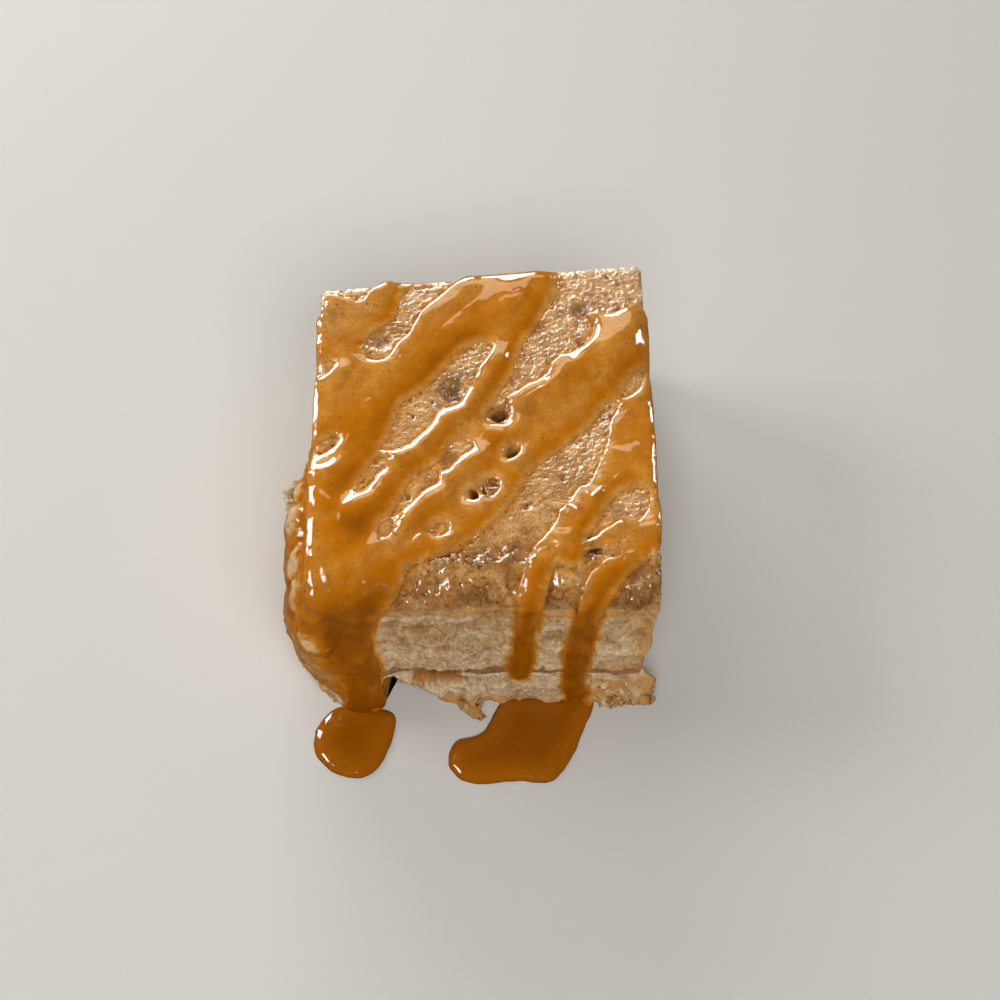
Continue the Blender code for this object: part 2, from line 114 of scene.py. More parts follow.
# Hollows baked into the crust, and places that are browner than the rest: x, y, radius, depth or strength
HOLLOWS = [(-17.6, 30.6, 3.0, 0.9), (-2.6, 18.6, 3.6, 1.5), (6.5, 13.8, 1.9, 2.6), (8.8, 5.1, 1.7, 1.8),
           (1.9, -3.5, 2.2, 1.7), (5.2, -1.2, 1.7, 1.3), (22.7, 37.4, 2.4, 1.0), (24.2, -15.6, 2.6, 0.9),
           (-4.4, -16.4, 2.0, 0.6), (0.4, -18.0, 2.6, 0.9), (6.2, -16.0, 2.2, 0.8), (10.4, -17.8, 2.0, 0.6)]
SCORCHES = [(-17.0, 30.6, 2.6, 0.7), (-2.6, 20.6, 4.2, 0.8), (23.3, 38.0, 2.6, 0.8), (-4.0, -17.4, 4.0, 0.5),
            (3.0, -17.8, 4.5, 0.6), (9.5, -16.4, 4.0, 0.6), (23.5, -15.3, 4.2, 0.9), (6.5, 13.8, 2.2, 1.0),
            (3.4, -3.0, 4.0, 0.7), (8.8, 5.1, 2.2, 0.8), (10.0, -23.0, 3.5, 0.5), (31.0, -20.0, 6.0, 0.6),
            (2.0, -25.5, 6.0, 0.75), (-6.0, -25.0, 4.0, 0.4), (15.5, -24.5, 4.0, 0.6),
            (33.0, -24.5, 6.0, 0.6), (12.6, 14.8, 4.6, 0.9), (20.4, -1.5, 8.0, 0.2)]

# The sauce's runs down the sides and the bare patches on top, as chains of points with a half width in mm
CORNER_RUN = [(-25.0, -10.0, 41.0, 15.5), (-24.5, -19.0, 40.9, 13.2), (-24.3, -24.5, 38.0, 9.8),
              (-24.3, -26.6, 32.0, 7.2), (-24.2, -27.8, 24.0, 5.9), (-23.3, -29.0, 18.0, 5.2),
              (-22.0, -30.6, 12.0, 4.9), (-21.0, -32.0, 7.0, 4.6), (-20.6, -33.6, 1.0, 4.8)]
MIDDLE_RUN = [(14.8, -15.0, 41.0, 3.4), (13.6, -20.5, 40.2, 2.9), (12.6, -24.2, 38.2, 2.9),
              (11.7, -26.4, 33.2, 2.4), (11.4, -27.4, 26.0, 2.0), (11.0, -28.3, 19.0, 2.0),
              (10.5, -29.0, 13.8, 2.4), (10.5, -29.5, 10.6, 2.3)]
RIGHT_RUN = [(36.6, -8.0, 40.0, 2.2), (35.4, -14.2, 41.0, 2.6), (30.0, -18.6, 40.8, 2.8),
             (26.4, -22.0, 39.6, 3.2), (24.2, -25.5, 36.7, 2.8), (22.7, -27.1, 28.0, 2.5),
             (22.0, -28.3, 19.6, 2.5), (21.3, -29.2, 13.0, 2.3), (21.4, -29.8, 8.6, 2.3),
             (22.0, -31.4, 1.0, 2.6)]
LEFT_SHEET = (-25.0, 10.0, 4.0)         # its right border, its back border and its foot
# The front border of the sauce on top, as (x, y)
SHEET_FRONT = [(-34.0, -15.0), (-13.0, -20.0), (-8.4, -18.6), (-4.0, -17.0), (0.0, -16.0), (12.0, -15.6),
               (15.5, -17.5), (20.0, -20.0), (26.0, -17.0), (34.0, -15.5), (40.0, -15.0)]
# Outlines in plan of the places on top that the sauce left bare, in mm
BARE_OUTLINES = {
    "back_left": [(-20.2, 29.1), (-19.3, 26.6), (-17.3, 26.3), (-15.4, 27.5), (-14.0, 30.1), (-12.3, 31.9),
                  (-10.9, 34.5), (-8.4, 38.2), (-4.0, 42.5), (-1.8, 45.1), (-8.8, 43.7), (-11.8, 42.3),
                  (-13.0, 39.9), (-13.7, 37.1), (-14.9, 34.7), (-17.3, 33.1), (-19.4, 31.9)],
    "middle_left": [(-16.7, 6.0), (-12.8, 6.3), (-9.7, 8.9), (-7.0, 12.0), (-6.3, 13.8), (-4.9, 14.9),
                    (-2.7, 15.8), (-1.1, 17.2), (0.8, 21.1), (2.7, 25.0), (4.9, 28.4), (3.3, 29.6),
                    (0.9, 28.7), (-1.6, 27.0), (-5.8, 22.2), (-7.9, 19.7), (-10.8, 17.4), (-12.8, 15.6),
                    (-13.7, 12.9), (-14.6, 9.8), (-15.7, 7.3)],
    "slit": [(-21.1, -3.0), (-19.4, -2.4), (-18.1, -0.8), (-17.5, 0.7), (-16.2, 1.8), (-15.8, 3.8),
             (-17.0, 4.2), (-18.3, 2.4), (-19.2, 0.0), (-20.4, -1.5)],
    "front_left": [(-14.4, -9.3), (-10.6, -5.4), (-8.4, -3.3), (-5.9, -1.5), (-5.3, 0.7), (-3.4, 2.0),
                   (-0.9, 4.9), (0.9, 6.0), (1.0, 6.9), (-0.9, 8.0), (-2.7, 7.5), (-3.6, 5.3), (-4.8, 3.3),
                   (-7.1, 1.8), (-9.6, -0.2), (-11.1, -2.4), (-13.9, -7.4)],
    "low_slit": [(-16.6, -12.3), (-15.5, -13.0), (-14.4, -11.9), (-14.2, -9.5), (-15.4, -9.5),
                 (-16.5, -10.8)],
    "deep_pit": [(5.3, 12.0), (7.1, 11.8), (8.1, 13.4), (7.7, 16.1), (6.7, 17.9), (5.5, 16.1), (4.5, 14.7),
                 (4.0, 12.7)],
    "small_pit": [(7.5, 4.7), (8.4, 3.9), (9.6, 4.9), (10.2, 6.2), (8.8, 6.9), (7.5, 6.0)],
    "right_pit": [(3.2, -3.7), (4.6, -4.3), (5.9, -3.0), (6.1, -1.3), (4.6, -0.4), (3.4, -1.7)],
    "left_pit": [(-0.1, -4.3), (1.1, -5.2), (2.3, -4.8), (1.9, -3.3), (0.5, -3.0)],
    "low_pit": [(-6.3, -12.1), (-5.0, -12.8), (-3.6, -11.7), (-4.2, -10.2), (-5.8, -10.4)],
    "middle_right": [(-2.0, -17.5), (2.3, -19.0), (6.5, -19.5), (11.4, -18.5), (12.8, -15.5), (15.9, -11.9),
                     (17.2, -9.8), (17.6, -7.4), (19.2, -6.1), (21.9, -2.2), (23.7, -1.3), (24.7, 0.9),
                     (26.7, 6.0), (27.6, 8.9), (28.2, 12.5), (29.7, 15.6), (28.1, 16.5), (24.9, 11.8),
                     (19.7, 6.7), (13.9, 1.8), (11.9, -0.8), (10.4, -3.5), (8.8, -6.3), (6.5, -8.9),
                     (4.2, -11.3), (1.5, -13.8)],
    "back_right": [(6.5, 17.4), (9.5, 19.0), (14.8, 22.2), (16.2, 24.7), (18.0, 27.0), (20.4, 27.7),
                   (22.6, 29.1), (24.2, 30.7), (24.9, 33.1), (24.5, 35.0), (23.5, 36.1), (24.9, 36.8),
                   (26.6, 38.0), (27.1, 36.8), (29.3, 36.8), (31.8, 38.0), (40.0, 39.0), (40.0, 54.0),
                   (18.7, 54.0), (18.4, 46.3), (18.6, 43.0), (17.4, 39.9), (15.7, 36.6), (14.1, 33.1),
                   (11.7, 30.1), (10.5, 26.8), (9.5, 23.1), (7.9, 20.4)],
    "front_right": [(23.3, -13.6), (25.2, -12.5), (28.2, -10.2), (29.9, -9.1), (32.6, -9.8), (33.9, -8.5),
                    (35.4, -5.6), (35.2, -3.5), (33.7, -2.6), (31.2, -3.0), (28.8, -4.8), (27.1, -7.4),
                    (25.3, -10.4)],
    "front_slit": [(22.8, -18.5), (24.8, -18.1), (26.7, -17.2), (25.6, -15.5), (23.3, -16.4)],
    "right_edge": [(30.9, 17.9), (32.5, 19.0), (34.1, 20.8), (35.0, 22.9), (34.2, 23.8), (32.6, 22.0),
                   (31.4, 20.2)],
    "left_edge": [(-28.7, 22.9), (-27.2, 23.8), (-26.6, 25.4), (-28.0, 25.7), (-29.2, 24.7)],
    "low_left_edge": [(-28.9, 4.9), (-27.0, 5.8), (-25.5, 8.0), (-25.9, 9.1), (-27.4, 8.0), (-28.8, 6.7)],
    "back_rim": [(-34.0, 36.5), (-29.6, 37.0), (-29.0, 41.0), (-25.7, 41.0), (-23.3, 40.3), (-21.6, 39.6),
                 (-20.5, 41.0), (-19.3, 42.6), (-17.7, 44.0), (-17.8, 50.0), (-34.0, 50.0)],
}
EDGE_REACH = 6.0                        # how far outside a bare place its border is still measured, in mm
EDGE_BLEND = 2.0                        # the fillet where two streams join, in mm

# Ropes of thick sauce, and valleys where two streams met, as chains with a half width in mm
ROPES = [
    [(14.6, 43.0, 3.0), (6.5, 39.4, 3.4), (-7.4, 27.3, 3.4), (-19.9, 11.8, 3.2), (-27.1, -5.9, 2.6)],
    [(8.5, 26.6, 2.2), (-2.3, 14.0, 2.6), (-13.9, 2.5, 2.8), (-23.1, -11.2, 2.8)],
    [(23.0, 25.0, 3.0), (14.4, 16.3, 2.8), (-1.2, -0.4, 2.4), (-11.6, -13.4, 2.6)],
    [(35.5, 24.0, 2.6), (34.0, 14.0, 2.8), (27.8, 1.8, 2.6), (19.9, -8.4, 2.6), (14.1, -17.6, 2.6)],
    [(36.3, -8.9, 1.8), (31.3, -16.5, 2.0), (25.0, -22.9, 2.0)],
]
VALLEYS = [
    [(-16.7, 6.0, 2.0), (-23.0, -5.0, 1.5)], [(7.0, 32.0, 1.4), (13.0, 41.0, 1.2)],
    [(1.0, 6.9, 2.0), (8.9, 19.7, 1.5)], [(-20.2, 29.1, 2.0), (-26.0, 14.0, 1.2)],
    [(9.3, 5.4, 1.6), (22.0, 19.0, 1.2)], [(1.7, -3.7, 1.6), (-8.0, -13.0, 1.2)],
]
ROPE_EDGES = (-2.0, 2.2)                # the reach at which a rope begins, and at which it is full
VALLEY_EDGES = (0.0, 2.2)
# Places where the sauce mounds up, as x, y, radius and height in mm
BULGES = [(9.0, 37.0, 8.0, 0.5), (-20.0, -12.0, 12.0, 0.3)]
# The crown of the deepest stream, as a chain with the width of its even slope to the back, and that slope
CROWN = [(16.0, 20.2, 1.2), (22.5, 24.4, 2.8), (27.5, 27.6, 6.8), (33.5, 30.8, 7.2)]
CROWN_SLOPE = 0.19
CROWN_FRONT = 9.0
CROWN_PLACE = (27.5, 31.0)
CROWN_FADE = (11.0, 6.5)                # the radii between which the stream's other swells give way
# Places where the sauce ran over lumps, as x, y, radius and strength in mm
UNEVEN_PLACES = [(-25.0, -22.0, 11.0, 0.6), (20.0, -19.0, 6.0, 0.2)]
# Thin folds where the sauce slid over the corner's lumps: height in mm, and a chain with a half width
WRINKLES = [(0.4, [(-28.8, -17.4, 0.1), (-27.8, -18.4, 0.3), (-26.8, -20.0, 0.5), (-26.4, -22.2, 0.2)]),
            (0.3, [(-26.8, -16.4, 0.1), (-26.0, -16.4, 0.3)])]
# Places where the sauce lies smooth, as x, y, radius and strength
CALM_PLACES = [(4.0, 35.0, 13.0, 1.0)]
# The level direction that the streams' steep, light edges face
LEE = np.array([-0.7, 0.7, 0.0])
LEAN_SPAN = 2.6                         # the mm to either side over which a stream's lean is measured
# Stretches of edge where the sauce lies flush with the crust, as x, y, radius and strength
FLUSH_EDGES = [(13.0, -16.5, 9.0, 1.0), (18.0, -6.5, 9.0, 1.0), (24.5, 1.5, 9.0, 1.0), (29.5, 11.0, 8.0, 1.0),
               (25.0, -21.0, 8.0, 1.0), (33.0, -15.0, 7.0, 0.8), (33.5, -9.0, 5.0, 0.6),
               (-14.5, -9.0, 3.0, 0.6), (0.0, 24.0, 3.0, 0.5), (-9.0, -16.0, 5.0, 1.0),
               (-15.0, -20.0, 6.0, 1.0)]
# Where the sauce lies thinner or deeper than elsewhere, as x, y, radius and strength
THIN_PLACES = [(-25.0, 36.0, 10.0, 0.8), (-28.5, 22.0, 4.0, 0.7), (-28.0, 4.5, 4.0, 0.8),
               (13.0, 15.0, 5.0, 0.5), (35.8, 22.0, 4.0, 0.7), (2.0, -3.0, 7.0, 0.8), (-0.1, 9.8, 3.5, 0.9),
               (29.0, -14.5, 5.0, 0.6), (-5.0, -11.0, 4.0, 0.7), (-14.0, -15.0, 4.0, 0.5),
               (6.0, 13.0, 5.0, 0.7), (30.0, 44.0, 8.0, 0.6), (16.0, 42.0, 5.0, 0.5)]
DEEP_PLACES = [(-22.0, 10.0, 9.0, 0.4), (-22.0, -13.0, 9.0, 0.5), (-20.0, -24.0, 8.0, 0.5),
               (33.0, 8.0, 8.0, 0.3), (22.0, -11.0, 5.0, 0.3), (13.0, -21.5, 5.0, 0.8),
               (26.0, -21.0, 7.0, 1.0), (-7.3, 23.8, 6.0, 0.4), (27.5, 15.2, 7.0, 0.3)]

# Loose crumbs: the middle of each patch, its spread, how pale its crumbs are and how many there are
CRUMBS = [((35.5, -29.4, 5.6), (1.4, 0.7, 1.0), 0.0, 46), ((34.6, -30.2, 1.8), (1.5, 0.7, 1.0), 0.0, 34),
          ((29.0, -30.6, 1.2), (1.5, 0.7, 1.0), 0.0, 20), ((0.4, -31.8, 0.9), (1.5, 0.7, 1.0), 0.0, 14),
          ((-35.1, 4.4, 22.6), (0.6, 1.7, 1.7), 0.8, 120), ((-35.2, 12.0, 3.0), (0.6, 1.5, 1.0), 0.3, 14),
          ((-4.5, -18.6, 40.1), (1.5, 0.7, 0.5), 0.0, 6), ((1.8, -17.8, 40.3), (1.5, 0.7, 0.5), 0.0, 8)]
# The longest flake, torn loose at the foot, lies out over the floor
FLAKE_PLACE = (0.9, -32.6, 0.9)
FLAKE_SIZE = (2.9, 1.3, 0.5)
FLAKE_AXES = [(0.78, -0.62, -0.06), (0.62, 0.78, 0.0), (0.05, -0.04, 1.0)]
SEED = 7

# Pools on the surface that the slice stands on
PUDDLES = {
    "corner_pool": ("corner_puddle",
                    [(-14.6, -33.6), (-20.5, -31.6), (-26.4, -31.8), (-30.5, -36.5), (-30.3, -42.0),
                     (-26.0, -46.0), (-20.5, -46.6), (-16.6, -42.5)]),
    "front_pool": ("front_puddle",
                   [(25.4, -30.4), (21.5, -29.2), (17.5, -30.4), (13.0, -29.4), (7.0, -30.4), (3.0, -37.0),
                    (-2.6, -39.2), (-3.6, -44.5), (1.0, -48.0), (10.0, -47.4), (16.5, -47.6), (20.6, -43.0),
                    (23.0, -37.5)]),
}

# The camera of the photograph, in mm from the slice's own origin
CAMERA_PLACE = (6.5, -224.70, 461.90)
CAMERA_AIM = (6.5, 15.75, 0.0)
FOCAL_LENGTH = 88.74                    # mm on a sensor of SENSOR mm
SENSOR = 36.0

# Lights that show in gloss alone, and lights for matt surfaces alone: degrees from the back towards the
# right, degrees up, width and height in m, radiance and colour
GLINTS = {"back_window": (-20.0, 16.0, 0.75, 0.34, 38.0, "#FFFFFF"),
          "left_window": (-59.0, 24.0, 0.16, 0.6, 38.0, "#FFFFFF"),
          "right_window": (62.0, 24.0, 0.1, 0.4, 38.0, "#FFFFFF"),
          "corner_window": (-108.0, 42.0, 0.3, 0.22, 38.0, "#FFFFFF"),
          "front_window": (-172.0, 50.0, 0.035, 0.05, 38.0, "#FFFFFF"),
          "back_softbox": (-4.0, 40.0, 0.6, 0.3, 7.0, "#FFF6D6")}
FILLS = {"rear_fill": (-18.0, 20.0, 0.6, 0.4, 7.0, "#FFFFFF"),
         "left_fill": (-72.0, 32.0, 0.4, 0.4, 7.0, "#FFFFFF"),
         "front_fill": (168.0, 53.0, 0.6, 0.45, 7.0, "#FFFFFF")}
LIGHT_DISTANCE = 0.95                   # m from LIGHT_AIM
LIGHT_AIM = (*MIDDLE, 25.0)             # in mm
TABLE_SIDE = 3.0                        # half the floor's side, in m
SKY = ("#F2F1EF", 0.08)                 # colour and strength


def linear(hex_colour):
    """The linear colour of an sRGB hex value."""
    channels = [int(hex_colour[i:i + 2], 16) / 255.0 for i in (1, 3, 5)]
    return [c / 12.92 if c <= 0.04045 else ((c + 0.055) / 1.055) ** 2.4 for c in channels]


def smooth(start, end, value):
    """0 at start, 1 at end and 3t^2 - 2t^3 between; start may be the larger."""
    t = np.clip((value - start) / (end - start), 0.0, 1.0)
    return t * t * (3.0 - 2.0 * t)


def mix(a, b, t):
    """a and b in the shares 1 - t and t."""
    return a + (b - a) * t


def lattice(cell, salt):
    """A repeatable whole number for a cell: its indices times large odd numbers, folded by shifts."""
    factors = np.array([374761393, 668265263, 2246822519], np.uint32)
    h = cell.astype(np.int64).astype(np.uint32) @ factors
    h = h + np.uint32(salt * 3266489917 & 0xFFFFFFFF)
    h = (h ^ (h >> np.uint32(15))) * np.uint32(2246822519)
    h = (h ^ (h >> np.uint32(13))) * np.uint32(3266489917)
    return h ^ (h >> np.uint32(16))


def fractions(h):
    """Three numbers from 0 to 1 for each whole number, ten of its bits each."""
    return np.stack([((h >> np.uint32(s)) & np.uint32(1023)) / 1023.0 for s in (0, 10, 20)], axis=-1)


def noise(p, size, salt=0):
    """Gradient noise, about -1 to 1, with a lattice step of size mm, one number or three.

    Each lattice corner has a random slope. The heights of the eight slopes at the point are blended along
    each axis by 6t^5 - 15t^4 + 10t^3.
    """
    q = p / np.asarray(size, float)
    base = np.floor(q)
    part = q - base
    blend = part ** 3 * (part * (part * 6.0 - 15.0) + 10.0)
    total = np.zeros(len(p))
    for corner in itertools.product((0, 1), repeat=3):
        slope = fractions(lattice(base + corner, salt)) * 2.0 - 1.0
        height = ((part - corner) * slope).sum(-1)
        total += height * np.where(corner, blend, 1.0 - blend).prod(-1)
    return total * 1.6


def rough(p, size, octaves, salt=0):
    """Noise added to itself at half the size and half the height, octaves times."""
    size = np.asarray(size, float)
    return sum(noise(p, size / 2 ** k, salt + k) / 2 ** k for k in range(octaves))


def cells(p, size, salt=0):
    """How far the nearest of one random point per lattice cell is, and that point's own number.

    Also gives how much farther the second nearest is, which is 0 on the border between two. Both in cells.
    """
    q = p / np.asarray(size, float)
    base = np.floor(q)
    near, second, luck = np.full(len(p), 9.0), np.full(len(p), 9.0), np.zeros(len(p))
    for corner in itertools.product((-1, 0, 1), repeat=3):
        h = lattice(base + corner, salt)
        away = np.linalg.norm(base + corner + fractions(h) - q, axis=-1)
        closer = away < near
        second = np.where(closer, near, np.minimum(second, away))
        near = np.where(closer, away, near)
        luck = np.where(closer, (h >> np.uint32(22)) / 1023.0, luck)
    return near, luck, second - near


def away_from(p, x, y):
    """How far points are from the place (x, y) in plan."""
    return np.hypot(p[:, 0] - x, p[:, 1] - y)


def spots(p, places):
    """The greatest strength of round places (x, y, radius, strength), each fading to its rim."""
    return np.max([s * smooth(r, r * 0.25, away_from(p, x, y)) for x, y, r, s in places], axis=0)


def at_height(x, y, z):
    """The points (x, y) at one height."""
    return np.stack([x, y, np.full(len(x), z)], axis=-1)


def plan_point(a, b, z):
    """Where the fractions (a, b), left to right and front to back, lie in plan at height z."""
    lean = np.clip((CRUST_LINE - z) / CRUST_LINE, 0.0, 1.0)[:, None]
    corners = [mix(np.array(crust), np.array(foot), lean) for crust, foot in zip(CRUST_CORNERS, FOOT_CORNERS)]
    front, back = mix(corners[0], corners[1], a[:, None]), mix(corners[2], corners[3], a[:, None])
    return mix(front, back, b[:, None])


def round_corners(a, b, z):
    """Draws the plan's corners onto arcs, and gives the level direction that faces out of the side."""
    worn = mix(CORNER_RADIUS, FOOT_CORNER_RADIUS, smooth(CRUST_LINE, 2.0, z))
    radius = np.where((a < 0.5) & (b < 0.5), worn, CORNER_RADIUS)
    x, y = (a - 0.5) * WIDTH, (b - 0.5) * DEPTH
    inner_x = np.clip(x, radius - WIDTH / 2, WIDTH / 2 - radius)
    inner_y = np.clip(y, radius - DEPTH / 2, DEPTH / 2 - radius)
    dx, dy = x - inner_x, y - inner_y
    length = np.maximum(np.hypot(dx, dy), 1e-9)
    scale = np.maximum(np.abs(dx), np.abs(dy)) / length
    out = np.stack([dx / length, dy / length, np.zeros(len(a))], axis=-1)
    return (inner_x + dx * scale) / WIDTH + 0.5, (inner_y + dy * scale) / DEPTH + 0.5, out


def skin(a, b, z, rim):
    """A point of the slice's smooth outside, and the level direction that faces out there.

    rim runs from 0 at the crust line to 1 on the flat top, while the sides draw in by their shoulders. Low
    down, the left side slumps out, and the torn front corner stands out as a leg.
    """
    left = SHOULDER_SIDE * rim / WIDTH
    front = SHOULDER_FRONT * rim / DEPTH
    back = SHOULDER_SIDE * rim / DEPTH
    a, b, out = round_corners(a, b, z)
    x, y = plan_point(mix(left, 1.0 - left, a), mix(front, 1.0 - back, b), z).T
    side = smooth(26.0, 6.0, y) * smooth(37.0, 12.0, z) * mix(0.82, 1.0, smooth(0.0, 7.0, z))
    side *= mix(0.7, 1.0, smooth(-31.0, -14.0, y))
    leg = smooth(30.0, 2.0, z) * smooth(LEG_HALF_WIDTH * 1.6, 0.0, np.abs(x - LEG_X))
    x = x - SLUMP * side * smooth(0.5, 0.0, a)
    y = y - LEG_REACH * leg * smooth(0.3, 0.0, b)
    return np.stack([x, y, z], axis=-1), out


def crust_height(x, y, a, b):
    """The top is nearly flat, with broad low swells. It rises to the back and rolls down at the rim."""
    from_side = np.minimum.reduce([a * WIDTH, (1.0 - a) * WIDTH, (1.0 - b) * DEPTH])
    roll = RIM_DROP * (1.0 - bead(from_side, RIM_WIDTH))
    return TOP - 0.5 + 0.4 * noise(at_height(x, y, 60.0), 19.0, 31) + BACK_RISE * smooth(15.0, 48.0, y) - roll


def notch_line(p):
    """The height of the missing piece at a point of the front, and 1 where there is one."""
    across = (p[:, 0] - NOTCH_X[0]) / (NOTCH_X[1] - NOTCH_X[0])
    height = mix(*NOTCH_HEIGHT, np.clip(across, 0.0, 1.0)) + 0.5 * noise(p, (2.2, 2.2, 30.0), 36)
    return height, smooth(-0.12, 0.12, across) * smooth(1.15, 0.75, across)


def notch(p):
    """The front's missing piece under the lower bread, in mm behind the side."""
    height, inside = notch_line(p)
    return NOTCH_DEPTH * inside * smooth(height + 1.0, height - 0.8, p[:, 2])


def pocket(p):
    """The recess between the breads, with a ragged rim, in mm behind the side. The lower bread paints it
    brown and dark, partly as painted shade.
    """
    x, _, z = p.T
    rag = 1.2 * rough(p, (2.0, 2.0, 1.4), 2, 37)
    across = smooth(POCKET_HALF_WIDTH, POCKET_HALF_WIDTH * 0.6, np.abs(x - POCKET_X) + rag)
    up = smooth(POCKET_FLOOR, POCKET_FLOOR + 1.6, z + rag) * smooth(SEAM_TOP - 0.4, SEAM_TOP - 0.8, z)
    return POCKET_DEPTH * across * up


def knobs(p, places):
    """What stands out of a side: the highest of uneven round places (x, y, z, radius, reach), in mm."""
    wander = 1.0 * noise(p, 4.5, 14) + 0.5 * noise(p, 1.8, 15)
    away = [(np.linalg.norm(p - np.array(place[:3]), axis=1) + wander, place) for place in places]
    return np.max([reach * smooth(radius * 1.1, radius * 0.2, d) for d, (*_, radius, reach) in away], axis=0)


def left_lumps(p):
    """How far soft lumps stand out of the left side, in mm: LUMPS as round pillows, and smaller ones between.

    Also gives how pale the lumps' tops are, from 0 to 1.
    """
    wander = 0.7 * noise(p, 3.2, 17) + 0.3 * noise(p, 1.3, 15)
    away = [np.linalg.norm((p - place) * (0.6, 1.0, 0.6), axis=1) for *place, _, _, _ in LUMPS]
    pillows = np.array([reach * bead(radius - d - wander, radius)
                        for d, (*_, radius, reach, _) in zip(away, LUMPS)])
    nearest = np.array(LUMPS)[pillows.argmax(0)]
    pale = nearest[:, 5] * smooth(-1.8, 0.8, p[:, 2] - nearest[:, 2] + 1.4 * noise(p, 2.6, 109))
    pale *= smooth(0.7, 1.9, pillows.max(0) + 0.6 * noise(p, 2.2, 87) + 0.5 * noise(p, 0.9, 105))
    _, luck, inside = cells(p, (6.0, 4.0, 7.0), 16)
    left = smooth(-25.5, -29.5, p[:, 0]) * smooth(24.0, 14.0, p[:, 1]) * smooth(34.0, 30.0, p[:, 2])
    return np.maximum(pillows.max(0), left * (0.15 + 0.5 * luck) * bead(inside, 0.45)), pale


def layers(p):
    """The bread's broad ridges along its layers, with soft lumps on them, in mm behind the smooth side."""
    return np.clip(0.45 + 0.2 * noise(p, (13.0, 13.0, 3.2), 1) + 0.3 * noise(p, (5.0, 5.0, 3.6), 2), 0.0, 1.2)


def torn(p):
    """Torn bread, in mm behind the smooth side, the painted shade of its holes and dips, and how far it is
    under sauce.

    On the layers lie clumps of a few millimetres and a fluffy grain of about one. A few random cells are
    small holes; they and the dips between clumps get painted shade. Bread under sauce has slumped to half
    its layers. The shade and the sauce are from 0 to 1.
    """
    clump = rough(p, (2.3, 2.3, 3.2), 3, 3)
    fluff = 0.2 * noise(p, (1.2, 1.2, 1.7), 7) + 0.14 * noise(p, 0.8, 8)
    near, luck, _ = cells(p, (2.6, 2.6, 3.0), 6)
    holes = smooth(0.38, 0.14, near + 0.12 * noise(p, 0.9, 9)) * (luck > 0.72)
    move = layers(p) - 0.34 * clump - fluff + 0.7 * holes
    under = smooth(-1.4, 0.1, sauce_reach(p))
    # Painted shade: darker in the holes and in the dips between clumps
    hollow = np.maximum(holes, 0.7 * smooth(-0.1, -0.75, clump))
    return mix(move, 0.5 * layers(p), 0.85 * under), hollow, under


def near_side(a, b):
    """1 at the slice's sides and 0 from 4.5 mm inside: how far an interface between layers may wander."""
    return smooth(4.5, 1.0, np.minimum.reduce([a * WIDTH, (1.0 - a) * WIDTH, b * DEPTH, (1.0 - b) * DEPTH]))


def crust_wave(x, y, a, b):
    """The crust line rises and falls by the mean of two sines, at most 1.4 mm."""
    return 1.4 * near_side(a, b) * (np.sin(x / 5.3 + 0.8) + np.sin(y / 6.1)) / 2.0


def seam_wave(x, y, a, b):
    """The seam between the breads rises and falls with two sizes of noise, at most about 1.5 mm."""
    level = at_height(x, y, 5.0)
    return near_side(a, b) * (1.1 * noise(level, 10.0, 32) + 0.5 * noise(level, 3.5, 33)
                              + 0.25 * noise(level, 1.4, 35) - 0.8 * smooth(-8.0, -24.0, y))


def seam_floor(x, y, a, b):
    """The seam's lower border: like its upper one, below a seam that is thick in some places only."""
    closing = 0.7 * smooth(19.0, 26.0, x) * smooth(0.0, -20.0, y)
    thinner = np.minimum(1.1, 0.35 + 0.9 * noise(at_height(x, y, 5.0), 6.5, 34) + closing)
    return seam_wave(x, y, a, b) + near_side(a, b) * thinner


def flat_line(x, y, a, b):
    """An interface that doesn't wander."""
    return np.zeros(len(x))


def ring(step):
    """Fractions (a, b) at even steps round the slice, anticlockwise from its front left corner."""
    wide, deep = round(WIDTH / step), round(DEPTH / step)
    u, v = np.arange(wide) / wide, np.arange(deep) / deep
    a = np.concatenate([u, np.ones(deep), 1.0 - u, np.zeros(deep)])
    b = np.concatenate([np.zeros(wide), v, np.ones(wide), 1.0 - v])
    return a, b, wide, deep


def wrapped_quads(index):
    """The quads between the rows of an index array whose last column joins its first."""
    low, high = index[:-1], index[1:]
    return np.stack([low, np.roll(low, -1, 1), np.roll(high, -1, 1), high], axis=-1).reshape(-1, 4)


def grid_quads(index):
    """The quads between the rows and columns of an index array."""
    return np.stack([index[:-1, :-1], index[1:, :-1], index[1:, 1:], index[:-1, 1:]], axis=-1).reshape(-1, 4)


def side_and_top(step, rows):
    """Rows of points round the slice's side, and an even grid over its top that the last row leads to.

    Gives each point's fractions (a, b) and its row, which is the number of rows for the grid. Then come the
    number of points in a row, and the quads.
    """
    a, b, wide, deep = ring(step)
    u, v = np.meshgrid(np.arange(wide + 1) / wide, np.arange(deep + 1) / deep, indexing="ij")
    top = np.arange(u.size).reshape(u.shape) + rows * len(a)
    border = np.concatenate([top[:-1, 0], top[-1, :-1], top[:0:-1, -1], top[0, :0:-1]])
    side = np.concatenate([np.arange(rows * len(a)).reshape(rows, -1), border[None]])
    row = np.concatenate([np.repeat(np.arange(rows), len(a)), np.full(u.size, rows)])
    a_all, b_all = np.append(np.tile(a, rows), u), np.append(np.tile(b, rows), v)
    return a_all, b_all, row, len(a), np.concatenate([grid_quads(top), wrapped_quads(side)])


def fan(row, pole, upward):
    """Triangles from a ring of points to one point."""
    after = np.roll(row, -1)
    tips = np.full(len(row), pole)
    corners = [row, after, tips] if upward else [after, row, tips]
    return np.stack(corners, axis=-1)


def nearest_on(p, start, end):
    """How far along a stretch its nearest place to a point is, from 0 to 1, and the way from there to it."""
    line = end - start
    t = np.clip(((p - start) @ line) / (line @ line), 0.0, 1.0)
    return t, p - start - t[:, None] * line


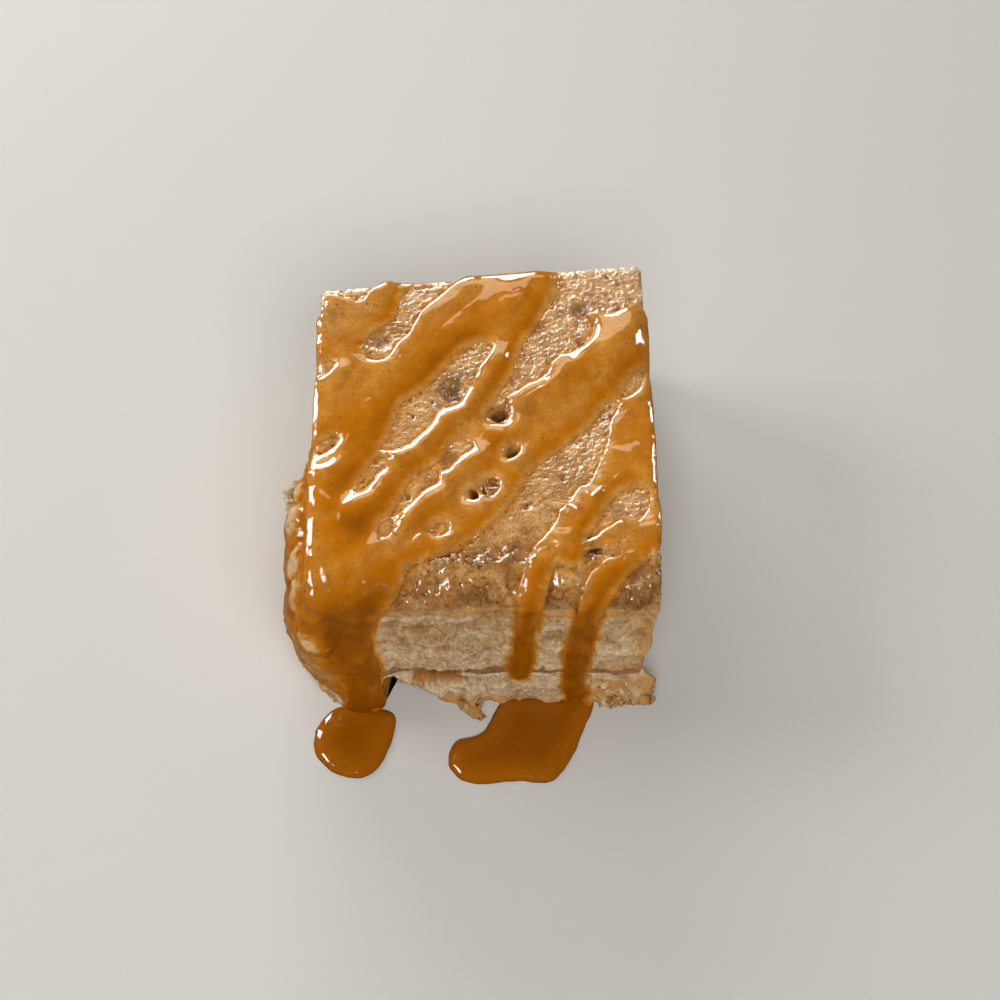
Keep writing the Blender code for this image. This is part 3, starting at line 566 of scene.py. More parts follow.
def segment_reach(p, start, end):
    """How far inside a tapering stretch the point lies: the half width there less the way to its line."""
    t, away = nearest_on(p, np.array(start[:-1]), np.array(end[:-1]))
    return mix(start[-1], end[-1], t) - np.linalg.norm(away, axis=1)


def chain_reach(p, chain):
    """The greatest reach of a chain's stretches."""
    return np.max([segment_reach(p, start, end) for start, end in zip(chain, chain[1:])], axis=0)


def along(p, chains, start, end):
    """0 at the reach start of the nearest chain in plan, and 1 from the reach end."""
    return smooth(start, end, np.max([chain_reach(p[:, :2], chain) for chain in chains], axis=0))


def joined(first, second, blend):
    """The larger of two reaches, with a fillet of the width blend where they are about equal."""
    h = np.clip(0.5 + 0.5 * (first - second) / blend, 0.0, 1.0)
    return mix(second, first, h) + blend * h * (1.0 - h)


def bare_reach(p):
    """How far inside a bare place a point of the top lies, in mm, from -EDGE_REACH outside it."""
    inside = np.full(len(p), -EDGE_REACH)
    for corners in BARE_OUTLINES.values():
        outline = pudding_outline(corners, BARE_STEPS)
        level = (p[:, 2] > TOP - 4.0) & (p[:, :2] > outline.min(0) - EDGE_REACH).all(1)
        near = level & (p[:, :2] < outline.max(0) + EDGE_REACH).all(1)
        inside[near] = np.maximum(inside[near], outline_reach(p[near, :2], outline))
    return inside


def stream_reach(p):
    """Above 0 where sauce covers the slice, in mm from its edge, before the edge wanders."""
    x, y, z = p.T
    reach = np.minimum(y - np.interp(x, *np.transpose(SHEET_FRONT)), z - (TOP - 3.0))
    for run in (CORNER_RUN, MIDDLE_RUN, RIGHT_RUN):
        reach = joined(reach, chain_reach(p, run), EDGE_BLEND)
    right, back, foot = LEFT_SHEET
    border = back - 0.25 * (TOP - z) + 1.6 * noise(p, (5.0, 5.0, 8.0), 108)
    sheet = np.minimum.reduce([right - x, border - y, z - foot]) + 1.6 * noise(p, 6.0, 13)
    return np.minimum(joined(reach, sheet, EDGE_BLEND), -bare_reach(p))


def sauce_reach(p):
    """The reach of the sauce with an edge that wanders a little."""
    sway = 0.7 * smooth(TOP - 4.0, TOP - 10.0, p[:, 2]) * noise(p, (4.5, 4.5, 5.5), 104)
    return stream_reach(p) + 0.24 * noise(p, 2.6, 11) + 0.1 * noise(p, 0.95, 12) + sway


def sauce_lean(p):
    """1 at an edge of a stream that faces LEE, -1 at one that faces away, and even between."""
    rise = stream_reach(p - LEE * LEAN_SPAN) - stream_reach(p + LEE * LEAN_SPAN)
    return np.clip(rise / (2.0 * LEAN_SPAN), -1.0, 1.0)


def vertex_normals(points, triangles):
    """Each point's direction: the sum of its triangles' cross products, at length 1."""
    a, b, c = (points[triangles[:, k]] for k in range(3))
    facing = np.cross(b - a, c - a)
    total = np.zeros_like(points)
    for k in range(3):
        np.add.at(total, triangles[:, k], facing)
    return total / np.maximum(np.linalg.norm(total, axis=1), 1e-12)[:, None]


def split_quads(quads):
    """Two triangles for each quad."""
    return np.concatenate([quads[:, [0, 1, 2]], quads[:, [0, 2, 3]]])


def clip_sheet(data, reach, triangles):
    """Keeps the part of a sheet where reach is above 0.

    data has a row for each point. An edge that crosses 0 gets a point there, which both its triangles share.
    Gives the rows, reaches and triangles that are kept.
    """
    reach = np.where(np.abs(reach) < 0.04, 0.0, reach)
    sign = np.sign(reach[triangles])
    whole = (sign.min(1) >= 0) & (sign.max(1) > 0)
    cut = (sign.min(1) < 0) & (sign.max(1) > 0)
    tri, sign = triangles[cut], sign[cut]
    first = np.where((sign > 0).sum(1) == 2, np.argmin(sign, axis=1), np.argmax(sign, axis=1))
    turn = (np.arange(3)[None, :] + first[:, None]) % 3
    tri, sign = np.take_along_axis(tri, turn, 1), np.take_along_axis(sign, turn, 1)
    edges = np.sort(np.concatenate([tri[:, [0, 1]], tri[:, [0, 2]], tri[:, [1, 2]]]), axis=1)
    keys, back = np.unique(edges, axis=0, return_inverse=True)
    away = reach[keys[:, 0]] - reach[keys[:, 1]]
    t = np.clip(reach[keys[:, 0]] / np.where(away == 0.0, 1.0, away), 0.0, 1.0)
    data = np.concatenate([data, mix(data[keys[:, 0]], data[keys[:, 1]], t[:, None])])
    reach = np.concatenate([reach, np.zeros(len(keys))])
    back = back.reshape(-1) + len(data) - len(keys)
    on_01, on_02, _ = back.reshape(3, -1)
    signs = np.array([(1, -1, -1), (-1, 1, 1), (1, -1, 0), (1, 0, -1)])
    one, two, left, right = (sign == signs[:, None]).all(-1)
    pieces = [triangles[whole],
              np.stack([tri[one, 0], on_01[one], on_02[one]], -1),
              np.stack([on_01[two], tri[two, 1], tri[two, 2]], -1),
              np.stack([on_01[two], tri[two, 2], on_02[two]], -1),
              np.stack([tri[left, 0], on_01[left], tri[left, 2]], -1),
              np.stack([tri[right, 0], tri[right, 1], on_02[right]], -1)]
    kept = np.concatenate(pieces)
    used, index = np.unique(kept, return_inverse=True)
    return data[used], reach[used], index.reshape(-1, 3)


def shell(top, bottom, triangles, marks):
    """Closes a sheet with an underside: points on its border are shared and take the bottom's place.

    Gives the points, the faces and the marks, which the underside repeats.
    """
    edges = np.concatenate([triangles[:, [0, 1]], triangles[:, [1, 2]], triangles[:, [2, 0]]])
    keys, count = np.unique(np.sort(edges, axis=1), axis=0, return_counts=True)
    inner = np.ones(len(top), bool)
    inner[keys[count == 1].ravel()] = False
    under = np.arange(len(top))
    under[inner] = len(top) + np.arange(inner.sum())
    points = np.concatenate([np.where(inner[:, None], top, bottom), bottom[inner]])
    marks = {key: np.append(value, value[inner]) for key, value in marks.items()}
    return points, [triangles, under[triangles[:, ::-1]]], marks


def bead(reach, width):
    """The rounded edge of a pool: a quarter ellipse from 0 at its border to 1 at width mm inside."""
    t = np.clip(reach / width, 0.0, 1.0)
    return np.sqrt(np.maximum(0.0, 1.0 - (1.0 - t) ** 2))


def write_piece(name, points, faces, marks, material, slot, replaced=None):
    """Makes a piece of points in mm, arrays of corner indices and point marks, and puts it on the frame."""
    mesh = bpy.data.meshes.new(name)
    corners = np.concatenate([f.ravel() for f in faces]).astype(np.int32)
    sizes = np.concatenate([np.full(len(f), f.shape[1]) for f in faces])
    mesh.vertices.add(len(points))
    mesh.vertices.foreach_set("co", ((points + SHIFT) * MM).astype(np.float32).ravel())
    mesh.loops.add(len(corners))
    mesh.loops.foreach_set("vertex_index", corners)
    mesh.polygons.add(len(sizes))
    mesh.polygons.foreach_set("loop_start", (np.cumsum(sizes) - sizes).astype(np.int32))
    mesh.update(calc_edges=True)
    if mesh.validate():
        raise RuntimeError(f"{name} has faces that don't make a surface")
    for key, values in marks.items():
        attribute = mesh.attributes.new(key, "FLOAT", "POINT")
        attribute.data.foreach_set("value", np.asarray(values, np.float32))
    mesh.shade_smooth()
    mesh.materials.append(material)
    piece = bpy.data.objects.new(name, mesh)
    bpy.context.scene.collection.objects.link(piece)
    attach(piece, "root")
    if replaced:
        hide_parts(replaced)


def add_node(tree, kind, inputs=None, stops=None, **settings):
    """Adds a node. inputs maps sockets to values, to outputs, or to nodes for their first output in use.

    stops are the places and colours of a colour ramp.
    """
    node = tree.nodes.new(kind)
    for name, value in settings.items():
        setattr(node, name, value)
    for key, value in (inputs or {}).items():
        if isinstance(value, bpy.types.Node):
            value = next(output for output in value.outputs if output.enabled)
        if isinstance(value, bpy.types.NodeSocket):
            tree.links.new(value, node.inputs[key])
        else:
            node.inputs[key].default_value = value
    if stops:
        ramp = node.color_ramp
        while len(ramp.elements) < len(stops):
            ramp.elements.new(0.5)
        for element, (place, shade) in zip(ramp.elements, stops):
            element.position = place
            element.color = (*shade, 1.0)
    return node


def new_material(name):
    """An empty node material and its tree."""
    material = bpy.data.materials.new(name)
    material.use_nodes = True
    material.node_tree.nodes.clear()
    return material, material.node_tree


def texture_size(size):
    """The Scale of a texture node on Object coordinates for a pattern that repeats about every size mm."""
    return 1.0 / (size * MM)


def spice_specks(tree, place, size, width, share):
    """1 inside round specks of a width in cells, in that share of cells of that size, and 0 elsewhere."""
    cell = add_node(tree, "ShaderNodeTexVoronoi", {"Vector": place, "Scale": texture_size(size)})
    number = add_node(tree, "ShaderNodeSeparateColor", {"Color": cell.outputs["Color"]})
    few = add_node(tree, "ShaderNodeMath", {0: number, 1: 1.0 - share}, operation="GREATER_THAN")
    small = add_node(tree, "ShaderNodeMapRange", {"Value": cell, "From Min": width, "From Max": width * 0.4,
                                                  "To Max": 0.8})
    return add_node(tree, "ShaderNodeMath", {0: few, 1: small}, operation="MULTIPLY")


def under_sauce(tree, ground, depth):
    """A colour seen through sauce: times white where there is none, to dark amber where it is deep."""
    colours = bpy.context.scene.pudding_colours
    veil = add_node(tree, "ShaderNodeValToRGB", {"Fac": depth}, [
        (0.0, (1.0, 1.0, 1.0)), (0.15, colours.sauce_thin), (0.45, colours.sauce), (1.0, colours.sauce_deep)])
    return add_node(tree, "ShaderNodeMix", {"Factor": 1.0, "A": ground, "B": veil}, data_type="RGBA",
                    blend_type="MULTIPLY")


def crust_colour(tree, place):
    """The crust's procedural colour, and the height of its pores and grain.

    Clouds a few millimetres wide run from tan to brown. Pores and the hollow mark darken it as
    painted shade, and the toast mark, browning with some painted shade, is darkest.
    """
    colours = bpy.context.scene.pudding_colours
    hollow, toast, pale = (add_node(tree, "ShaderNodeAttribute", attribute_name=name).outputs["Fac"]
                           for name in ("hollow", "toast", "pale"))
    cloud = add_node(tree, "ShaderNodeTexNoise", {"Vector": place, "Scale": texture_size(3.2), "Detail": 5.0,
                                                  "Roughness": 0.65})
    grain = add_node(tree, "ShaderNodeTexNoise", {"Vector": place, "Scale": texture_size(0.6), "Detail": 2.0,
                                                  "Roughness": 0.55})
    pores = add_node(tree, "ShaderNodeTexVoronoi", {"Vector": place, "Scale": texture_size(0.95)})
    pit = add_node(tree, "ShaderNodeMapRange", {"Value": pores, "From Min": 0.34, "From Max": 0.12})
    tan = add_node(tree, "ShaderNodeValToRGB", {"Fac": cloud},
                   [(0.34, colours.crust_deep), (0.62, colours.crust_pale)])
    ground = add_node(tree, "ShaderNodeMapRange", {"Value": grain, "From Min": 0.3, "From Max": 0.7,
                                                   "To Min": 0.8, "To Max": 1.15})
    shaded = add_node(tree, "ShaderNodeVectorMath", {0: tan, 1: ground}, operation="MULTIPLY")
    # Painted shade: pores and the hollow mark darken the crust
    pitted = add_node(tree, "ShaderNodeMath", {0: pit, 1: 0.4}, operation="MULTIPLY")
    darker = add_node(tree, "ShaderNodeMath", {0: hollow, 1: pitted}, operation="MAXIMUM")
    height = add_node(tree, "ShaderNodeMath", {0: pit, 1: -0.8, 2: grain}, operation="MULTIPLY_ADD")
    coloured = shaded
    for share, coat in [(darker, colours.hollow), (toast, colours.scorched_and_shaded), (pale, colours.crumb_light),
                        (spice_specks(tree, place, 2.1, 0.2, 0.35), colours.spice)]:
        coloured = add_node(tree, "ShaderNodeMix", {"Factor": share, "A": coloured, "B": (*coat, 1.0)},
                            data_type="RGBA")
    return coloured, height


def baked_bread(name, pale, deep, toasted, roughness):
    """Egg-soaked bread, baked and torn: soft crumb with spice specks, toasted where it met the tin.

    The eye sees a matt grain about half a millimetre wide, browner in its creases, a painted shade, and
    amber gloss where sauce soaked in. roughness is that of dry bread.
    """
    colours = bpy.context.scene.pudding_colours
    material, tree = new_material(name)
    place = add_node(tree, "ShaderNodeTexCoord").outputs["Object"]
    layered = add_node(tree, "ShaderNodeMapping", {"Vector": place, "Scale": (1.0, 1.0, 0.65)})
    toast, hollow, soak, dry = (add_node(tree, "ShaderNodeAttribute", attribute_name=mark).outputs["Fac"]
                                for mark in ("toast", "hollow", "soak", "pale"))
    cloud = add_node(tree, "ShaderNodeTexNoise", {"Vector": layered, "Scale": texture_size(3.0),
                                                  "Detail": 5.0, "Roughness": 0.6})
    grain = add_node(tree, "ShaderNodeTexNoise", {"Vector": layered, "Scale": texture_size(0.75),
                                                  "Detail": 3.0, "Roughness": 0.7, "Distortion": 0.6})
    crumb = add_node(tree, "ShaderNodeValToRGB", {"Fac": cloud}, [(0.36, deep), (0.58, pale)])
    lighter = add_node(tree, "ShaderNodeMix", {"Factor": dry, "A": crumb, "B": (*colours.crumb_light, 1.0)},
                       data_type="RGBA")
    ground = add_node(tree, "ShaderNodeMapRange", {"Value": grain, "From Min": 0.32, "From Max": 0.68,
                                                   "To Min": 0.64, "To Max": 1.24})
    shaded = add_node(tree, "ShaderNodeVectorMath", {0: lighter, 1: ground}, operation="MULTIPLY")
    wetted = add_node(tree, "ShaderNodeMapRange", {"Value": soak, "From Max": 0.35, "To Max": 0.85})
    coloured = shaded
    # Painted shade: the hollow coat darkens holes and creases; toast is partly painted shade
    for share, coat in [(toast, toasted), (spice_specks(tree, place, 1.6, 0.2, 0.2), colours.spice),
                        (hollow, colours.hollow), (wetted, colours.toasted)]:
        coloured = add_node(tree, "ShaderNodeMix", {"Factor": share, "A": coloured, "B": (*coat, 1.0)},
                            data_type="RGBA")
    soaked = under_sauce(tree, coloured, soak)
    wet = add_node(tree, "ShaderNodeMapRange", {"Value": soak, "From Max": 0.7, "To Min": roughness,
                                                "To Max": 0.3})
    relief = add_node(tree, "ShaderNodeMath", {0: cloud, 1: grain}, operation="ADD")
    bump = add_node(tree, "ShaderNodeBump", {"Height": relief, "Strength": 1.0, "Distance": 0.55 * MM})
    surface = add_node(tree, "ShaderNodeBsdfPrincipled", {
        "Base Color": soaked, "Roughness": wet, "Normal": bump, "Subsurface Weight": 0.25,
        "Subsurface Scale": 1.2 * MM, "Subsurface Radius": (1.0, 0.5, 0.25), "IOR": 1.42,
        "Specular IOR Level": 0.35})
    add_node(tree, "ShaderNodeOutputMaterial", {"Surface": surface})
    return material


def browned_custard_crust():
    """The top: egg custard and bread, blistered and browned in the oven and sticky with syrup.

    The eye sees tan skin full of pores under a millimetre wide, darker hollows, where the dark is painted
    shade, and many small wet glints.
    """
    material, tree = new_material("browned_custard_crust")
    place = add_node(tree, "ShaderNodeTexCoord").outputs["Object"]
    soak, wrinkled = (add_node(tree, "ShaderNodeAttribute", attribute_name=mark).outputs["Fac"]
                      for mark in ("soak", "wrinkled"))
    colour_below, height = crust_colour(tree, place)
    soaked = under_sauce(tree, colour_below, soak)
    bump = add_node(tree, "ShaderNodeBump", {"Height": height, "Strength": 1.0, "Distance": 0.22 * MM})
    ripple = add_node(tree, "ShaderNodeTexNoise", {"Vector": place, "Scale": texture_size(0.6),
                                                   "Detail": 2.0})
    skinned = add_node(tree, "ShaderNodeMath", {0: ripple, 1: wrinkled}, operation="MULTIPLY")
    film = add_node(tree, "ShaderNodeBump", {"Height": skinned, "Strength": 1.0, "Distance": 0.34 * MM})
    surface = add_node(tree, "ShaderNodeBsdfPrincipled", {
        "Base Color": soaked, "Roughness": 0.5, "Normal": bump, "Coat Normal": film, "Coat Weight": 0.75,
        "Coat Roughness": 0.05, "Subsurface Weight": 0.15, "Subsurface Scale": 1.0 * MM,
        "Subsurface Radius": (1.0, 0.5, 0.25), "IOR": 1.35, "Specular IOR Level": 0.12})
    add_node(tree, "ShaderNodeOutputMaterial", {"Surface": surface})
    return material


def caramel_syrup():
    """Butter caramel, poured warm: a clear amber syrup with specks of spice, over crust that shows through.

    The eye sees a wet, smooth gloss. Where the sauce is thin the crust's pattern shows, and where it is deep
    the pattern fades and the colour becomes a saturated amber. The depth mark also holds painted shade on
    each stream's far flank and a painted sheen towards its edge that faces LEE; the crust's painted shade
    shows through thin sauce.
    """
    name = "caramel_syrup"
    if name in bpy.data.materials:
        return bpy.data.materials[name]
    colours = bpy.context.scene.pudding_colours
    material, tree = new_material(name)
    place = add_node(tree, "ShaderNodeTexCoord").outputs["Object"]
    depth = add_node(tree, "ShaderNodeAttribute", attribute_name="depth").outputs["Fac"]
    hidden = add_node(tree, "ShaderNodeMapRange", {"Value": depth, "From Max": 0.5, "To Min": 0.2,
                                                   "To Max": 0.85})
    blurred = add_node(tree, "ShaderNodeMix", {"Factor": hidden, "A": crust_colour(tree, place)[0],
                                               "B": (*colours.sauce_ground, 1.0)}, data_type="RGBA")
    spiced = add_node(tree, "ShaderNodeMix", {"Factor": spice_specks(tree, place, 1.2, 0.19, 0.2),
                                              "A": under_sauce(tree, blurred, depth),
                                              "B": (*colours.spice, 1.0)}, data_type="RGBA")
    ripple = add_node(tree, "ShaderNodeTexNoise", {"Vector": place, "Scale": texture_size(4.0),
                                                   "Detail": 2.0})
    bump = add_node(tree, "ShaderNodeBump", {"Height": ripple, "Strength": 0.1, "Distance": 0.4 * MM})
    surface = add_node(tree, "ShaderNodeBsdfPrincipled", {
        "Base Color": spiced, "Roughness": 0.05, "Normal": bump, "Subsurface Weight": 0.08,
        "Subsurface Scale": 1.2 * MM, "Subsurface Radius": (1.0, 0.6, 0.2), "IOR": 1.36})
    add_node(tree, "ShaderNodeOutputMaterial", {"Surface": surface})
    return material


def layer_rows(low, high, step, relief, low_line=flat_line, high_line=flat_line, setback=0.0):
    """The closed surface of a slab as rows of points, and the marks of each point.

    Rows run round the slice from a small ring in the middle of the underside, out to its border, up the side
    and in again over the top. A side point moves in along its level direction by relief(p, c), and both
    borders are rounded.
    """
    a, b, _, _ = ring(step)
    count = max(3, round((high - low) / step))
    side = np.linspace(0.0, 1.0, count + 1)
    inward = np.array([0.02, 0.3, 0.7, 0.9, 0.97])
    heights = np.concatenate([np.zeros(len(inward)), side, np.ones(len(inward))])
    shares = np.concatenate([inward, np.ones(len(side)), inward[::-1]])
    c, a_all = np.repeat(heights, len(a)), np.tile(a, len(heights))
    share, b_all = np.repeat(shares, len(a)), np.tile(b, len(heights))
    level = mix(low, high, c)
    p, out = skin(a_all, b_all, level, np.zeros(len(c)))
    place = p[:, 0], p[:, 1], a_all, b_all
    p[:, 2] += mix(low_line(*place), high_line(*place), c)
    move, marks = relief(p, c)
    p -= out * (move + setback)[:, None]
    p[:, :2] = mix(MIDDLE, p[:, :2], share[:, None])
    p[:, 2] = mix(level, p[:, 2], smooth(0.85, 1.0, share))
    index = np.arange(len(p)).reshape(len(heights), len(a))
    poles = np.array([[*MIDDLE, low], [*MIDDLE, high]])
    faces = [wrapped_quads(index), fan(index[0], len(p), False), fan(index[-1], len(p) + 1, True)]
    marks = {key: np.concatenate([value, value[:1], value[:1]]) for key, value in marks.items()}
    return np.concatenate([p, poles]), faces, marks


def rounded_border(c, low, high, radius):
    """How far a side draws in towards the borders of its layer, a quarter circle of that radius."""
    height = high - low
    from_border = np.minimum(c, 1.0 - c) * height
    return radius * (1.0 - bead(from_border, radius))


def side_soak(p):
    """How deep sauce has soaked into a side, from 0 to 1: beside the runs, and over most of the left side."""
    left = smooth(-27.5, -31.5, p[:, 0]) * smooth(22.0, 6.0, p[:, 1])
    patchy = smooth(-0.45, 0.35, noise(p, 5.5, 43) + 0.35) * (1.0 - 0.9 * smooth(0.3, 1.1, left_lumps(p)[0]))
    beside = smooth(-1.5, 0.1, sauce_reach(p) + 0.6 * rough(p, (1.3, 1.3, 2.6), 2, 48))
    return np.maximum(0.5 * beside ** 2, 0.45 * left * patchy)


def upper_bread_relief(p, c):
    """The upper bread's side: torn crumb, drawn in at its foot, with a lighter ridge low on the right."""
    x, y, z = p.T
    move, holes, under = torn(p)
    edge = rounded_border(c, SEAM_TOP, CRUST_LINE, 0.8) * (c < 0.5)
    edge = edge * np.clip(0.7 + noise(p, 3.0, 47), 0.1, 1.6)
    ridge = smooth(2.3, 0.6, np.abs(z - 19.6 - 0.6 * noise(p, 8.0, 44))) * smooth(10.0, 20.0, x)
    ridge *= 1.0 - under
    pale = np.maximum(0.9 * ridge, smooth(0.1, 0.7, noise(p, (8.0, 8.0, 3.2), 45)) * 0.7)
    pale = np.maximum(pale, 0.4 * smooth(23.0, 17.0, z + 2.0 * noise(p, (6.0, 6.0, 3.0), 57)))
    toast = smooth(0.2, 0.8, rough(p, (7.0, 7.0, 3.0), 3, 41)) * 0.3
    near_crust = smooth(0.8, 1.02, c + 0.09 * rough(p, (4.0, 4.0, 2.0), 2, 42))
    right_foot = smooth(24.0, 30.0, x) * smooth(17.0, 14.0, z) * smooth(0.9, 0.2, ridge)
    right_edge = smooth(31.5, 34.5, x + 1.5 * noise(p, (3.0, 3.0, 2.0), 60)) * smooth(-20.0, -26.0, y)
    front = y < FRONT_SIDE
    dents = np.where(front, knobs(p, DENTS), 0.0)
    # The crease under the crust line is sunk and darkened, the dark a painted shade
    crease = smooth(-17.5, -15.0, x) * smooth(-1.5, -5.0, x) * np.where(front, 1.0, 0.0)
    crease *= smooth(0.955, 0.99, c + 0.02 * noise(p, 2.5, 49))
    move = mix(move, 0.3 * move, smooth(0.9, 1.0, c)) + crease
    move += 0.9 * smooth(0.955, 1.0, c + 0.03 * noise(p, (1.8, 1.8, 9.0), 50))
    move = move + edge + dents - 0.7 * ridge - np.maximum(left_lumps(p)[0], knobs(p, FLAKES))
    toast = np.maximum.reduce([toast, 0.75 * near_crust, 0.6 * right_edge, 0.5 * right_foot,
                               0.7 * smooth(0.2, 0.8, dents)])
    # Painted shade: the holes, the drawn-in foot and the crease are darkened
    hollow = np.maximum.reduce([holes * 0.5, smooth(0.4, 0.9, edge) * 0.8, 0.9 * crease])
    return move, {"toast": toast, "hollow": hollow, "soak": side_soak(p), "pale": pale}


def lower_bread_relief(p, c):
    """The lower bread's side: torn crumb over a ragged browned base, with its notch and pocket."""
    x, y, z = p.T
    move, holes, _ = torn(p)
    edge = rounded_border(c, 0.0, SEAM_TOP - SEAM_SPACE, 0.5)
    front = y < FRONT_SIDE
    cut = np.where(front, notch(p), 0.0)
    hole = np.where(front, pocket(p), 0.0)
    corner = smooth(18.0, 28.0, x) * smooth(-16.0, -25.0, y)
    base = 2.1 + 1.5 * noise(p, (4.0, 4.0, 9.0), 51) + 9.0 * corner
    height, missing = notch_line(p)
    base = np.where(front, np.maximum(base, missing * (height + 1.5)), base)
    browned = smooth(base + 1.3, base - 1.3, z + 0.7 * noise(p, 2.0, 53))
    browned *= 1.0 - 0.75 * corner * smooth(-0.05, 0.3, rough(p, (3.0, 3.0, 2.0), 3, 58))
    ragged = smooth(3.4, 1.2, z) + 0.9 * corner * smooth(10.0, 6.0, z)
    flaky = ragged * (0.75 * rough(p, (1.9, 1.9, 0.9), 3, 52) + 0.25)
    flaky += smooth(2.0, 0.8, z) * np.maximum(0.0, 1.6 * noise(p, (2.4, 2.4, 60.0), 54))
    ragged_edge = 0.8 + 1.2 * rough(p, (1.9, 1.9, 1.2), 2, 55)
    flakes = knobs(p, FLAKES)
    # The pocket's brown in the toast mark is partly painted shade
    toast = np.maximum.reduce([0.85 * browned, smooth(0.3, 1.5, hole) * 0.95,
                               0.85 * smooth(0.2, 1.2, flakes) * smooth(1.5, 0.5, ragged_edge)])
    hole *= np.clip(1.0 + 0.7 * rough(p, 1.3, 2, 59), 0.3, 1.5)
    move = move + edge + cut + hole - left_lumps(p)[0] - flakes * np.clip(ragged_edge, 0.1, 1.8)
    move -= flaky * smooth(4.0, 1.5, cut)
    # Painted shade: darker in the holes, the notch, the drawn-in borders and the pocket
    hollow = np.maximum.reduce([holes * 0.5, smooth(1.5, 6.0, cut), smooth(0.25, 0.5, edge) * 0.5,
                                smooth(0.6, 3.0, hole) * (0.7 + 0.5 * noise(p, 1.2, 56))])
    pale = np.maximum(corner, 0.55 + 0.45 * smooth(-0.3, 0.5, noise(p, (8.0, 8.0, 3.0), 46)))
    return move, {"toast": toast, "hollow": hollow, "soak": side_soak(p), "pale": pale}


def seam_relief(p, c):
    """The dark custard between the breads bulges a little here and there, and is sunk in the pocket."""
    move = 0.35 * noise(p, 3.0, 61) + 0.2 * noise(p, 1.0, 62)
    hole = np.where(p[:, 1] < FRONT_SIDE, pocket(p), 0.0)
    return move + hole, {"toast": 0.6 + 0.4 * noise(p, 4.0, 63), "soak": side_soak(p)}


def crust_pores(p):
    """Small pores and a few larger caves in the crust, each from 0 to 1."""
    near, luck, _ = cells(p, 1.35, 75)
    large, chance, _ = cells(p, 3.0, 76)
    ragged = large + 0.06 * noise(p, 0.9, 64)
    return smooth(0.4, 0.18, near) * (luck > 0.4), smooth(0.3, 0.15, ragged) * (chance > 0.65)


def wrinkling(p):
    """How wrinkled the crust's wet skin is, from 0 in front to 1 at the back."""
    x, y, _ = p.T
    return smooth(-6.0, 22.0, x * 0.5 + y * 0.6)


def crust_relief(p):
    """How far the crust stands out of the smooth skin, in mm: blisters and pores, roughest at the back."""
    pores, caves = crust_pores(p)
    rougher = wrinkling(p)
    move = -0.2 + mix(0.13, 0.16, rougher) * rough(p, 4.2, 2, 71)
    move = move - mix(0.14, 0.1, rougher) * pores - 0.6 * caves
    dimple, _, _ = cells(p + 0.5 * noise(p, 2.0, 99)[:, None], (1.15, 0.75, 0.9), 98)
    move -= 0.3 * rougher * smooth(0.55, 0.15, dimple)
    return move + mix(0.03, 0.12, rougher) * rough(p, (1.9, 1.05, 1.1), 2, 73)


def shoulder_lumps(p):
    """The soft lumps of the front shoulder, from 1 at their tops to below 0 in the creases between them."""
    _, luck, inside = cells(p + 1.2 * noise(p, 4.0, 97)[:, None], (7.5, 6.5, 6.5), 72)
    _, _, within = cells(p + 0.5 * noise(p, 2.0, 98)[:, None], (3.0, 3.0, 3.2), 73)
    return (0.4 + 0.6 * luck) * bead(inside, 0.5) + 0.35 * bead(within, 0.4) - 0.35


def crust_folds(p):
    """How far the front's crease and the shoulder's lumps stand out of the smooth crust, in mm.

    Also gives how deep in the crease a point is, from 0 to 1.
    """
    x, y, z = p.T
    wavy = y + 1.6 * noise(p, 4.5, 96)
    creased = smooth(-14.2, -16.2, wavy) * smooth(-20.8, -18.0, wavy) * smooth(-11.0, -7.0, x)
    wrinkle = np.abs(noise(p, (2.6, 1.5, 1.8), 74))
    fold = creased * (0.4 * noise(p, 2.2, 75) + 0.2 - 0.8 * smooth(0.22, 0.0, wrinkle))
    shoulder = smooth(TOP - 0.4, TOP - 3.0, z) * smooth(CRUST_LINE - 0.6, CRUST_LINE + 1.6, z)
    fold += shoulder * smooth(-12.0, -18.0, y) * smooth(38.5, 33.5, x) * (2.1 * shoulder_lumps(p) - 0.2)
    return fold, 0.6 * creased * smooth(0.16, 0.02, wrinkle)


def crust_marks(p):
    """How browned the crust is, with painted shade in the creases between the shoulder's lumps, and how much
    painted shade its pores and caves get, at points on or over it, each from 0 to 1.
    """
    x, y, z = p.T
    freckle = smooth(0.1, 0.6, rough(p, 5.0, 4, 77))
    shoulder = smooth(TOP - 0.6, TOP - 3.5, z) * smooth(-12.0, -17.0, y)
    # Painted shade: the creases between the shoulder's lumps are browned to stand in for their shade
    between = smooth(0.25, -0.15, shoulder_lumps(p))
    brown = shoulder * (0.08 + 0.22 * smooth(16.0, 34.0, x) + 0.75 * between)
    brown += shoulder * 0.3 * smooth(0.0, 0.7, rough(p, 3.0, 2, 101))
    scorch = spots(p, SCORCHES) * smooth(-0.6, 0.4, noise(p, 2.2, 78) + 0.25)
    pores, caves = crust_pores(p)
    return np.maximum.reduce([scorch, freckle * 0.3, brown]), np.maximum(0.5 * pores, 0.85 * caves)


